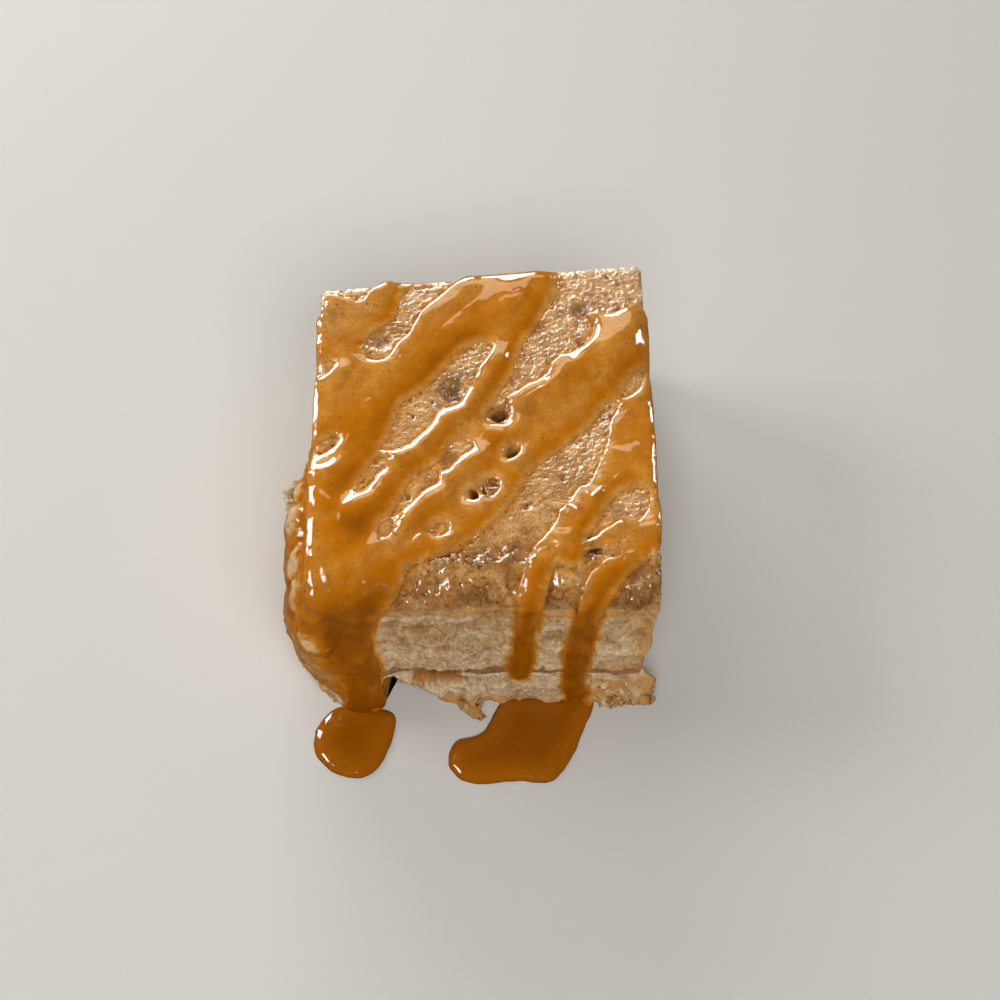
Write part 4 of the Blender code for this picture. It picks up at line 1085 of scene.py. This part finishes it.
def crust_surface(step):
    """The browned top layer as points, faces and marks.

    Its side is a ring of quarter ellipses from the crust line up to the rim of the flat top, and the top is
    an even grid that shares its border with the ring's last row. Both are pitted and blistered. Its lower
    border hangs unevenly over the bread.
    """
    a, b, row, around, quads = side_and_top(step, CRUST_ROWS)
    c = np.linspace(0.0, 1.0, CRUST_ROWS + 1)[row]
    rise, rim = np.sin(c * np.pi / 2.0), 1.0 - np.cos(c * np.pi / 2.0)
    p, out = skin(a, b, np.full(len(a), CRUST_LINE), rim)
    x, y, z = p.T
    hang = 1.8 + 0.9 * noise(p, (6.0, 6.0, 30.0), 70) + 0.6 * noise(p, (2.2, 2.2, 30.0), 79)
    low = CRUST_LINE + crust_wave(x, y, a, b) - np.maximum(hang, 1.1)
    z[:] = mix(low, crust_height(x, y, a, b), rise)
    inside = np.minimum.reduce([a, 1.0 - a, b, 1.0 - b]) > 1e-6
    out[inside & (c == 1.0)] = 0.0
    facing = out * (1.0 - rim)[:, None] + UP * rise[:, None]
    facing /= np.linalg.norm(facing, axis=1)[:, None]
    fold, crease = crust_folds(p)
    foot = smooth(2.2, 0.0, z - low + 0.5 * noise(p, (1.6, 1.6, 9.0), 80)) * (c < 0.5)
    move = crust_relief(p) + fold - 0.9 * foot
    wander = 0.8 * noise(p, (2.6, 2.6, 9.0), 67) + 0.3 * noise(p, (1.2, 1.2, 9.0), 66)
    sunk = sum(d * smooth(r, r * 0.25, away_from(p, cx, cy) + wander) for cx, cy, r, d in HOLLOWS)
    p += facing * move[:, None]
    z -= sunk * smooth(0.6, 1.0, c) * (1.0 + 0.4 * noise(p, 1.2, 69))
    toast, hollow = crust_marks(p)
    shade = smooth(1.8, 0.4, z - low) * smooth(-18.5, -15.0, x) * smooth(3.0, -3.0, x)
    shade *= smooth(-18.0, -22.0, y)
    # Painted shade: hollows, the crease, pores, caves and the crust's front foot are darkened
    hollow = np.maximum.reduce([hollow, smooth(0.7, 1.7, sunk), crease * 0.9, 0.75 * shade])
    covered = smooth(-1.2, 0.3, sauce_reach(p))
    from_side = np.minimum(a * WIDTH, (1.0 - b) * DEPTH)
    pale = 0.8 * smooth(2.2, 0.4, from_side + 1.2 * noise(p, 3.0, 68)) * smooth(10.0, 30.0, y)
    pale *= smooth(TOP - 2.6, TOP - 0.8, z + 0.7 * noise(p, 2.5, 107)) * (1.0 - covered)
    near_foot = smooth(CRUST_LINE + 2.6, CRUST_LINE + 0.4, z + 1.0 * noise(p, (3.0, 3.0, 2.0), 65))
    # The wrinkled back is made a little paler: a painted sheen
    pale = np.maximum.reduce([pale, 0.2 * near_foot, 0.08 * wrinkling(p)])
    middle = np.array([[*MIDDLE, CRUST_LINE]])
    inner = [mix(middle, p[:around], share) for share in (0.05, 0.5, 0.93)]
    for inner_row in inner:
        inner_row[:, 2] = CRUST_LINE
    under = np.arange(len(p), len(p) + 3 * around).reshape(3, -1)
    under = np.concatenate([under, np.arange(around)[None]])
    points = np.concatenate([p, *inner, middle])
    faces = [quads, wrapped_quads(under), fan(under[0], len(points) - 1, False)]
    extra = np.zeros(len(points) - len(p))
    marks = {"toast": toast, "hollow": hollow, "soak": 0.35 * covered, "pale": pale,
             "wrinkled": 0.1 + 0.9 * wrinkling(p)}
    return points, faces, {key: np.append(value, extra) for key, value in marks.items()}


def slice_skin(step):
    """The smooth outside of the slice from the foot to the middle of the top, as points and quads."""
    below = np.linspace(0.0, 1.0, round(CRUST_LINE / (1.2 * step)) + 1)[:-1]
    a, b, row, around, quads = side_and_top(step, len(below) + SAUCE_ROWS)
    height = np.append(below, np.ones(SAUCE_ROWS + 1))[row]
    up = np.append(np.zeros(len(below)), np.linspace(0.0, 1.0, SAUCE_ROWS + 1))[row]
    p, _ = skin(a, b, CRUST_LINE * height, 1.0 - np.cos(up * np.pi / 2.0))
    x, y, z = p.T
    z[:] = np.where(up > 0.0, mix(CRUST_LINE, crust_height(x, y, a, b), np.sin(up * np.pi / 2.0)), z)
    # Sauce bridges the corner where the side meets the crust's shoulder
    side = p[:(len(below) + SAUCE_ROWS) * around].reshape(-1, around, 3)
    near = 0.5 * smooth(5.0, 2.0, np.abs(side[1:-1, :, 2:] - CRUST_LINE))
    for _ in range(SMOOTHING_PASSES):
        side[1:-1] += near * (0.5 * (side[:-2] + side[2:]) - side[1:-1])
    return p, quads


def crown(p):
    """How high the deepest stream mounds at its crown, in mm: evenly to the back, and softly to the front."""
    height = np.zeros(len(p))
    for start, end in zip(CROWN, CROWN[1:]):
        a, b = np.array(start[:2]), np.array(end[:2])
        t, away = nearest_on(p[:, :2], a, b)
        line = b - a
        behind = away @ np.array([-line[1], line[0]]) > 0.0
        back = mix(start[2], end[2], t)
        share = np.linalg.norm(away, axis=1) / np.where(behind, back, CROWN_FRONT)
        height = np.maximum(height, CROWN_SLOPE * back * (1.0 - smooth(-0.1, 1.1, share)))
    return height


def wrinkles(p):
    """The height of the thin folds in the sauce's skin, in mm: a rounded ridge along each of WRINKLES."""
    return np.max([height * along(p, [chain], -0.5, 0.5) for height, chain in WRINKLES], axis=0)


def sauce_depth(p, reach, lean):
    """How thick the sauce lies, in mm, and how deep its colour is, from 0 to 1.

    A stream has a steep bead at the edge that faces LEE and runs out thin at the other. Its ropes are thick,
    the valleys between streams and the thin places aren't. On the sides it lies thin, and shows the lumps
    under it. The colour is deepest at the far flank of a stream, a painted shade, and lighter towards the
    edge that faces LEE, a painted sheen.
    """
    sizes = bpy.context.scene.pudding_sizes
    x, y, z = p.T
    on_top = smooth(TOP - 3.0, TOP - 0.8, z)
    left = smooth(-26.0, -29.5, x)
    flush = np.minimum(1.0, 1.6 * spots(p, FLUSH_EDGES)) * smooth(0.6, 0.3, noise(p, 4.0, 89))
    crowned = on_top * smooth(*CROWN_FADE, away_from(p, *CROWN_PLACE))
    lee = smooth(-0.5, 0.7, lean) * mix(0.75, 1.0, smooth(-0.4, 0.3, noise(p, 6.0, 90)))
    lee = mix(mix(0.15, lee, on_top) * (1.0 - flush), 1.0, crowned)
    edge = sizes.sauce_edge / MM * mix(0.1, 1.0, lee) * bead(reach, mix(2.6, 1.7, lee))
    rope, dip = along(p, ROPES, *ROPE_EDGES), along(p, VALLEYS, *VALLEY_EDGES)
    thin = on_top * spots(p, THIN_PLACES)
    inner = smooth(0.4, mix(mix(4.5, 7.5, flush), 2.4, crowned), reach)
    humps = mix(mix(0.25 + 0.75 * rope - 0.3 * dip, 0.45, 0.85 * flush), 0.5, crowned)
    mound = sizes.sauce_mound / MM * inner * mix(0.2, humps, on_top)
    calm = np.maximum(0.6 * crowned, 0.8 * spots(p, CALM_PLACES))
    swell = (0.07 * noise(p, 7.0, 81) + 0.03 * noise(p, 2.6, 82)) * (1.0 - calm)
    swell += (1.0 - on_top) * (0.12 * noise(p, 4.5, 83) + mix(0.09, 0.2, left) * noise(p, 1.6, 84))
    swell += spots(p, UNEVEN_PLACES) * noise(p, 5.0, 88) + wrinkles(p)
    swell += on_top * sum(h * smooth(r, 0.0, away_from(p, cx, cy)) for cx, cy, r, h in BULGES)
    thick = (edge + mound + swell * bead(reach, 3.0)) * (1.0 - 0.6 * thin)
    thick += on_top * crown(p) * bead(reach, 1.6) * smooth(36.5, 28.5, x)
    thick *= 1.0 - 0.6 * smooth(33.0, 36.0, x) * smooth(14.0, 20.0, y)
    # Painted shade on the far flank, and a painted sheen towards the edge that faces LEE (- 0.1 * lean)
    flank = smooth(0.2, -0.8, lean) * smooth(0.5, 2.5, reach)
    tone_and_shading = 0.2 + 0.22 * rope * inner + 0.3 * flank + 0.4 * spots(p, DEEP_PLACES) - 0.1 * lean
    tone_and_shading += 0.1 * noise(p, 6.0, 85) + 0.08 * rough(p, 2.2, 3, 110)
    low = mix(0.92, 0.48, left) + mix(0.15, 0.4, left) * noise(p, 5.0, 86)
    low += 0.16 * rough(p, (1.7, 1.7, 2.6), 2, 93) - 0.55 * left_lumps(p)[1]
    low -= (0.6 + 0.4 * noise(p, 2.2, 106)) * smooth(18.5, 13.0, z) * smooth(-22.5, -26.5, x)
    tone_and_shading = mix(low, tone_and_shading, smooth(TOP - 8.0, TOP - 0.5, z))
    fade = mix(smooth(-0.9, 0.7, reach), smooth(-0.2, mix(2.4, 0.7, lee), reach), on_top)
    shoulder = smooth(TOP - 0.6, TOP - 2.5, z)
    shoulder *= smooth(CRUST_LINE - 9.0, CRUST_LINE + 3.0, z + 3.0 * noise(p, 4.0, 103))
    fade = mix(fade, smooth(-0.3, 2.8, reach), shoulder)
    return thick, np.clip(tone_and_shading * (1.0 - 0.75 * thin), 0.03, 1.0) * fade


def relief_below_sauce(p, reach, thick):
    """How far the ground under the sauce stands out, in mm, and how pale its lumps are, from 0 to 1.

    On top a little of the crust's relief shows where the sauce is thin. On the sides the layers, the lumps
    and the folds do, and crumb shows on pale lumps and low on the corner.
    """
    x, _, z = p.T
    lumps, pale = left_lumps(p)
    pale *= 0.8 + 0.5 * noise(p, 1.0, 94)
    crust = (crust_relief(p) + 0.1) * 0.4 * smooth(0.8, 0.2, thick) * smooth(2.6, 0.4, reach)
    below = mix(0.3 - 0.5 * layers(p) + lumps, crust, smooth(TOP - 5.0, TOP - 2.0, z))
    shoulder = smooth(TOP + 0.4, TOP - 2.5, z) * smooth(CRUST_LINE - 7.0, CRUST_LINE + 3.0, z)
    fold = crust_folds(p)[0]
    below += mix(0.9 * fold, 0.3 * fold + 0.5 * shoulder, smooth(0.2, 2.0, reach))
    low_corner = smooth(17.0, 11.0, z) * smooth(-23.0, -27.0, x)
    below += np.maximum(0.22 * pale, 0.25 * low_corner) * rough(p, (1.1, 1.1, 1.6), 2, 102)
    return below, pale


def pudding_outline(points, count):
    """A closed smooth line through the points, as count points: each stretch is a Catmull-Rom cubic."""
    p = np.array(points)
    t = np.linspace(0.0, 1.0, count, endpoint=False)[:, None, None]
    before, after, beyond = np.roll(p, 1, 0), np.roll(p, -1, 0), np.roll(p, -2, 0)
    curve = 0.5 * (2.0 * p + (after - before) * t + (2.0 * before - 5.0 * p + 4.0 * after - beyond) * t ** 2
                   + (3.0 * p - before - 3.0 * after + beyond) * t ** 3)
    return curve.transpose(1, 0, 2).reshape(-1, 2)


def outline_reach(p, outline):
    """How far inside a closed line a point lies, in mm: the way to its nearest stretch, below 0 outside."""
    reach = np.full(len(p), 1e9)
    turns = np.zeros(len(p), bool)
    for start, end in zip(outline, np.roll(outline, -1, 0)):
        reach = np.minimum(reach, np.linalg.norm(nearest_on(p, start, end)[1], axis=1))
        crosses = (start[1] > p[:, 1]) != (end[1] > p[:, 1])
        rise = end[1] - start[1]
        meets = start[0] + (p[:, 1] - start[1]) * (end[0] - start[0]) / (rise if rise else 1e-9)
        turns ^= crosses & (p[:, 0] < meets)
    return np.where(turns, reach, -reach)


def turned_axes(rng, count):
    """Random turns: two random directions made square to each other, and the direction square to both."""
    first, second = rng.normal(size=(2, count, 3))
    first /= np.linalg.norm(first, axis=1)[:, None]
    second -= (first * second).sum(1)[:, None] * first
    second /= np.linalg.norm(second, axis=1)[:, None]
    return np.stack([first, second, np.cross(first, second)], axis=1)


def lump_mesh(places, sizes, axes, salt):
    """Crumbs: spheres of 12 by 9 faces, stretched to sizes along their axes and made ragged by noise."""
    around, up = 12, 9
    turn = np.linspace(0.0, 2.0 * np.pi, around + 1)[:-1]
    tilt = np.linspace(0.0, np.pi, up + 1)[1:-1]
    grid_t, grid_u = np.meshgrid(tilt, turn, indexing="ij")
    unit = np.stack([np.sin(grid_t) * np.cos(grid_u), np.sin(grid_t) * np.sin(grid_u), -np.cos(grid_t)], -1)
    unit = np.concatenate([unit.reshape(-1, 3), [[0.0, 0.0, -1.0], [0.0, 0.0, 1.0]]])
    south = around * (up - 1)
    rows = np.arange(south).reshape(up - 1, around)
    caps = fan(rows[0], south, False), fan(rows[-1], south + 1, True)
    tris = np.concatenate([split_quads(wrapped_quads(rows)), *caps])
    shape = rough((unit[None] * 2.0 + places[:, None] * 3.0).reshape(-1, 3), 1.1, 3, salt)
    points = (unit[None] * (1.0 + 0.6 * shape.reshape(len(places), -1, 1)) * sizes[:, None, :]) @ axes
    index = tris[None] + (np.arange(len(places)) * len(unit))[:, None, None]
    return (points + places[:, None]).reshape(-1, 3), [index.reshape(-1, 3)]


class PuddingSizes(bpy.types.PropertyGroup):
    """Sizes of the sauce that a user would change."""

    sauce_edge: FloatProperty(name="Sauce edge", description="Height of the sauce's rounded edge",
                              default=0.0009, min=0.0002, max=0.003, unit="LENGTH")
    sauce_mound: FloatProperty(name="Sauce mound", description="What the middle of a stream adds to its edge",
                               default=0.0007, min=0.0, max=0.003, unit="LENGTH")
    sauce_root: FloatProperty(name="Sauce root", description="How far the sauce is sunk in the crust",
                              default=0.00045, min=0.0001, max=0.002, unit="LENGTH")
    puddle_height: FloatProperty(name="Puddle height", description="Height of the pools at the foot",
                                 default=0.0018, min=0.0005, max=0.004, unit="LENGTH")


def colour(name, description, hex_colour):
    """A colour property with its default from an sRGB hex value."""
    return FloatVectorProperty(name=name, description=description, subtype="COLOR", size=3, min=0.0, max=1.0,
                               default=linear(hex_colour))


class PuddingColours(bpy.types.PropertyGroup):
    """Colours of the bread, the crust and the sauce."""

    crumb_pale: colour("Pale crumb", "Most of the bread", "#D8B182")
    crumb_deep: colour("Deep crumb", "Bread that took up more custard", "#B58A58")
    crumb_light: colour("Light crumb", "Compressed, drier bread", "#E9CFA8")
    toasted: colour("Toasted", "Bread that browned against the tin", "#CE9044")
    crust_pale: colour("Pale crust", "The lightest of the top", "#D9A360")
    crust_deep: colour("Deep crust", "The top where it browned more", "#AC7031")
    # Browned crust, and the painted shade between the shoulder's lumps
    scorched_and_shaded: colour("Scorched", "The darkest of the top", "#6B3D12")
    # Painted shade: the colour that darkens pores, creases, holes and the gaps between parts
    hollow: colour("Hollow", "The inside of pores and creases", "#7E4C20")
    custard: colour("Custard", "The dark custard between the breads", "#A0764A")
    spice: colour("Spice", "Specks of cinnamon and nutmeg", "#5A3416")
    sauce_thin: colour("Thin sauce", "What a thin film of sauce leaves of white light", "#FFEFB4")
    sauce: colour("Sauce", "What a millimetre of sauce leaves of white light", "#F0CA40")
    sauce_deep: colour("Deep sauce", "What the deepest sauce leaves of white light", "#B08C0C")
    sauce_ground: colour("Sauce ground", "What is seen below deep sauce, before its tint", "#CE9048")
    floor: colour("Floor", "The table that the slice stands on", "#CFCCC6")


class PUDDING_OT_bake_upper_bread(bpy.types.Operator):
    """Bakes the thick upper bread with its torn, layered sides"""

    bl_idname = "pudding.bake_upper_bread"
    bl_label = "Bake upper bread"

    def execute(self, context):
        colours = context.scene.pudding_colours
        rows = layer_rows(SEAM_TOP, CRUST_LINE - GAP, STEP, upper_bread_relief, seam_wave, crust_wave)
        material = baked_bread("upper_bread_crumb", colours.crumb_pale, colours.crumb_deep, colours.toasted,
                               roughness=0.78)
        write_piece("upper_crumb", *rows, material, "pale_crumb", "upper_bread")
        return {"FINISHED"}


class PUDDING_OT_bake_lower_bread(bpy.types.Operator):
    """Bakes the thin lower bread, with its browned base, and the custard seam on it"""

    bl_idname = "pudding.bake_lower_bread"
    bl_label = "Bake lower bread"

    def execute(self, context):
        colours = context.scene.pudding_colours
        seam_low = SEAM_TOP - SEAM_SPACE
        rows = layer_rows(0.0, seam_low, STEP, lower_bread_relief, high_line=seam_floor)
        material = baked_bread("lower_bread_crumb", colours.crumb_pale, colours.crumb_deep, colours.toasted,
                               roughness=0.78)
        write_piece("lower_crumb", *rows, material, "pale_crumb", "lower_bread")
        rows = layer_rows(seam_low, SEAM_TOP, STEP, seam_relief, seam_floor, seam_wave, SEAM_SETBACK)
        # The seam's deeper tone is the colour of painted shade in hollows
        material = baked_bread("dark_custard_seam", colours.custard, colours.hollow, colours.custard,
                               roughness=0.5)
        write_piece("custard_line", *rows, material, "dark_custard", "custard_seam")
        return {"FINISHED"}


class PUDDING_OT_brown_crust(bpy.types.Operator):
    """Browns the top: blistered, pitted and sticky"""

    bl_idname = "pudding.brown_crust"
    bl_label = "Brown crust"

    def execute(self, context):
        write_piece("browned_top", *crust_surface(STEP), browned_custard_crust(), "browned_crust",
                    "spiced_crust")
        return {"FINISHED"}


class PUDDING_OT_pour_sauce(bpy.types.Operator):
    """Pours the caramel sauce over the crust and down its runs"""

    bl_idname = "pudding.pour_sauce"
    bl_label = "Pour sauce"

    def execute(self, context):
        root = context.scene.pudding_sizes.sauce_root / MM
        p, quads = slice_skin(SAUCE_STEP)
        triangles = split_quads(quads)
        facing = vertex_normals(p, triangles)
        reach = np.minimum(sauce_reach(p), p[:, 2] - 0.4)
        data, reach, triangles = clip_sheet(np.concatenate([p, facing], axis=1), reach, triangles)
        p, facing = data[:, :3], data[:, 3:]
        thick, tone_and_shading = sauce_depth(p, reach, sauce_lean(p))
        below, pale = relief_below_sauce(p, reach, thick)
        top = p + facing * (thick + below - root * (1.0 - bead(reach, 0.8)))[:, None]
        toast, hollow = crust_marks(p)
        # Painted shade and sheen ride in the depth mark; the crust's painted shade in toast and hollow
        marks = {"depth": tone_and_shading, "toast": 0.7 * toast, "hollow": 0.3 * hollow, "pale": pale}
        write_piece("caramel_coat", *shell(top, p - facing * root, triangles, marks), caramel_syrup(),
                    "caramel", "caramel_sauce")
        return {"FINISHED"}


class PUDDING_OT_set_puddles(bpy.types.Operator):
    """Lets the sauce that ran off stand in pools at the foot"""

    bl_idname = "pudding.set_puddles"
    bl_label = "Set puddles"

    def execute(self, context):
        height = context.scene.pudding_sizes.puddle_height / MM
        for name, (node, corners) in PUDDLES.items():
            outline = pudding_outline(corners, PUDDLE_STEPS)
            low, high = outline.min(0) - 1.0, outline.max(0) + 1.0
            xs, ys = np.arange(low[0], high[0], STEP), np.arange(low[1], high[1], STEP)
            x, y = np.meshgrid(xs, ys, indexing="ij")
            p = at_height(x.ravel(), y.ravel(), 0.0)
            reach = outline_reach(p[:, :2], outline) + 0.15 * noise(p, 2.0, 91)
            quads = grid_quads(np.arange(x.size).reshape(x.shape))
            p, reach, triangles = clip_sheet(p, reach, split_quads(quads))
            thick = height * (0.72 * bead(reach, 2.2) + 0.28 * smooth(0.0, 5.0, reach))
            thick += 0.05 * noise(p, 5.0, 92) * bead(reach, 3.0)
            marks = {"depth": 0.82 + 0.18 * smooth(0.3, 6.0, reach)}
            write_piece(name, *shell(p + UP * thick[:, None], p, triangles, marks), caramel_syrup(),
                        "caramel", node)
        return {"FINISHED"}


class PUDDING_OT_scatter_crumbs(bpy.types.Operator):
    """Scatters the loose crumbs that cling to the slice's foot and sides"""

    bl_idname = "pudding.scatter_crumbs"
    bl_label = "Scatter crumbs"

    def execute(self, context):
        rng = np.random.default_rng(SEED)
        colours = context.scene.pudding_colours
        centres, spreads, fresh, counts = zip(*CRUMBS)
        places, spreads, fresh = (np.repeat(values, counts, axis=0) for values in (centres, spreads, fresh))
        places = places + np.clip(rng.normal(0.0, 1.0, places.shape), -1.5, 1.5) * spreads
        places[:, 2] = np.maximum(places[:, 2], 0.4)
        sizes = rng.uniform(0.3, 0.9, (len(places), 1))
        sizes = sizes * rng.uniform((0.8, 0.5, 0.2), (1.5, 1.0, 0.45), (len(places), 3))
        places, sizes = np.concatenate([places, [FLAKE_PLACE]]), np.concatenate([sizes, [FLAKE_SIZE]])
        fresh = np.append(fresh, 0.0)
        axes = turned_axes(rng, len(places))
        axes[-1] = FLAKE_AXES
        points, faces = lump_mesh(places, sizes, axes, 95)
        points[:, 2] = np.maximum(points[:, 2], 0.02)
        material = baked_bread("loose_crumb", colours.crumb_pale, colours.crumb_deep, colours.toasted,
                               roughness=0.7)
        marks = {"toast": rng.uniform(0.2, 0.9, len(places)) * (1.0 - fresh), "pale": fresh}
        marks = {key: np.repeat(values, len(points) // len(places)) for key, values in marks.items()}
        write_piece("loose_crumbs", points, faces, marks, material, "browned_crust")
        return {"FINISHED"}


def add_lights(scene, lights, matt, glossy):
    """Sets a table of area lights around LIGHT_AIM, seen by matt surfaces or in glossy ones."""
    aim = Vector(LIGHT_AIM) * MM
    for name, (around, up, wide, high, radiance, hex_colour) in lights.items():
        lamp = bpy.data.lights.new(name, "AREA")
        lamp.shape = "RECTANGLE"
        lamp.size, lamp.size_y, lamp.energy = wide, high, radiance * math.pi * wide * high
        lamp.color = linear(hex_colour)
        azimuth, elevation = math.radians(around), math.radians(up)
        back = Vector((math.sin(azimuth) * math.cos(elevation), math.cos(azimuth) * math.cos(elevation),
                       math.sin(elevation)))
        item = bpy.data.objects.new(name, lamp)
        item.location = aim + back * LIGHT_DISTANCE
        item.rotation_euler = (-back).to_track_quat("-Z", "Y").to_euler()
        item.visible_diffuse, item.visible_glossy = matt, glossy
        scene.collection.objects.link(item)


class PUDDING_OT_set_stage(bpy.types.Operator):
    """Sets a pale floor, soft light from behind and in front, and the camera of the photograph"""

    bl_idname = "pudding.set_stage"
    bl_label = "Set stage"

    def execute(self, context):
        scene = context.scene
        material, tree = new_material("matt_painted_table")
        surface = add_node(tree, "ShaderNodeBsdfPrincipled", {
            "Base Color": (*scene.pudding_colours.floor, 1.0), "Roughness": 0.7, "Specular IOR Level": 0.2})
        add_node(tree, "ShaderNodeOutputMaterial", {"Surface": surface})
        side = TABLE_SIDE
        mesh = bpy.data.meshes.new("table")
        mesh.from_pydata([(-side, -side, 0.0), (side, -side, 0.0), (side, side, 0.0), (-side, side, 0.0)], [],
                         [(0, 1, 2, 3)])
        mesh.materials.append(material)
        floor = bpy.data.objects.new("table", mesh)
        scene.collection.objects.link(floor)
        floor.visible_glossy = False
        add_lights(scene, GLINTS, matt=False, glossy=True)
        add_lights(scene, FILLS, matt=True, glossy=False)
        scene.world = bpy.data.worlds.new("studio")
        scene.world.use_nodes = True
        background = scene.world.node_tree.nodes["Background"]
        background.inputs["Color"].default_value = (*linear(SKY[0]), 1.0)
        background.inputs["Strength"].default_value = SKY[1]
        scene.view_settings.view_transform = "Standard"
        camera = bpy.data.cameras.new("photo_camera")
        camera.lens, camera.sensor_width = FOCAL_LENGTH, SENSOR
        camera.clip_start, camera.clip_end = 0.01, 20.0
        item = bpy.data.objects.new("photo_camera", camera)
        place = Vector((np.array(CAMERA_PLACE) + SHIFT) * MM)
        sight = Vector((np.array(CAMERA_AIM) + SHIFT) * MM) - place
        item.location = place
        item.rotation_euler = sight.to_track_quat("-Z", "Y").to_euler()
        scene.collection.objects.link(item)
        scene.camera = item
        return {"FINISHED"}


STEPS = (PUDDING_OT_bake_lower_bread, PUDDING_OT_bake_upper_bread, PUDDING_OT_brown_crust,
         PUDDING_OT_pour_sauce, PUDDING_OT_set_puddles, PUDDING_OT_scatter_crumbs, PUDDING_OT_set_stage)


class PUDDING_PT_panel(bpy.types.Panel):
    """Lists the pudding's steps in the 3D view's sidebar"""

    bl_idname = "PUDDING_PT_panel"
    bl_label = "Bread pudding"
    bl_space_type = "VIEW_3D"
    bl_region_type = "UI"
    bl_category = "Bread pudding"

    def draw(self, context):
        for step in STEPS:
            self.layout.operator(step.bl_idname)
        for group in (context.scene.pudding_sizes, context.scene.pudding_colours):
            for name in group.__annotations__:
                self.layout.prop(group, name)


CLASSES = (PuddingSizes, PuddingColours, *STEPS, PUDDING_PT_panel)


def register():
    for cls in CLASSES:
        bpy.utils.register_class(cls)
    bpy.types.Scene.pudding_sizes = PointerProperty(type=PuddingSizes)
    bpy.types.Scene.pudding_colours = PointerProperty(type=PuddingColours)


def unregister():
    del bpy.types.Scene.pudding_colours
    del bpy.types.Scene.pudding_sizes
    for cls in reversed(CLASSES):
        bpy.utils.unregister_class(cls)


def main():
    """Makes every piece in order."""
    register()
    bpy.ops.pudding.bake_lower_bread()
    bpy.ops.pudding.bake_upper_bread()
    bpy.ops.pudding.brown_crust()
    bpy.ops.pudding.pour_sauce()
    bpy.ops.pudding.set_puddles()
    bpy.ops.pudding.scatter_crumbs()
    bpy.ops.pudding.set_stage()


if __name__ == "__main__":
    main()
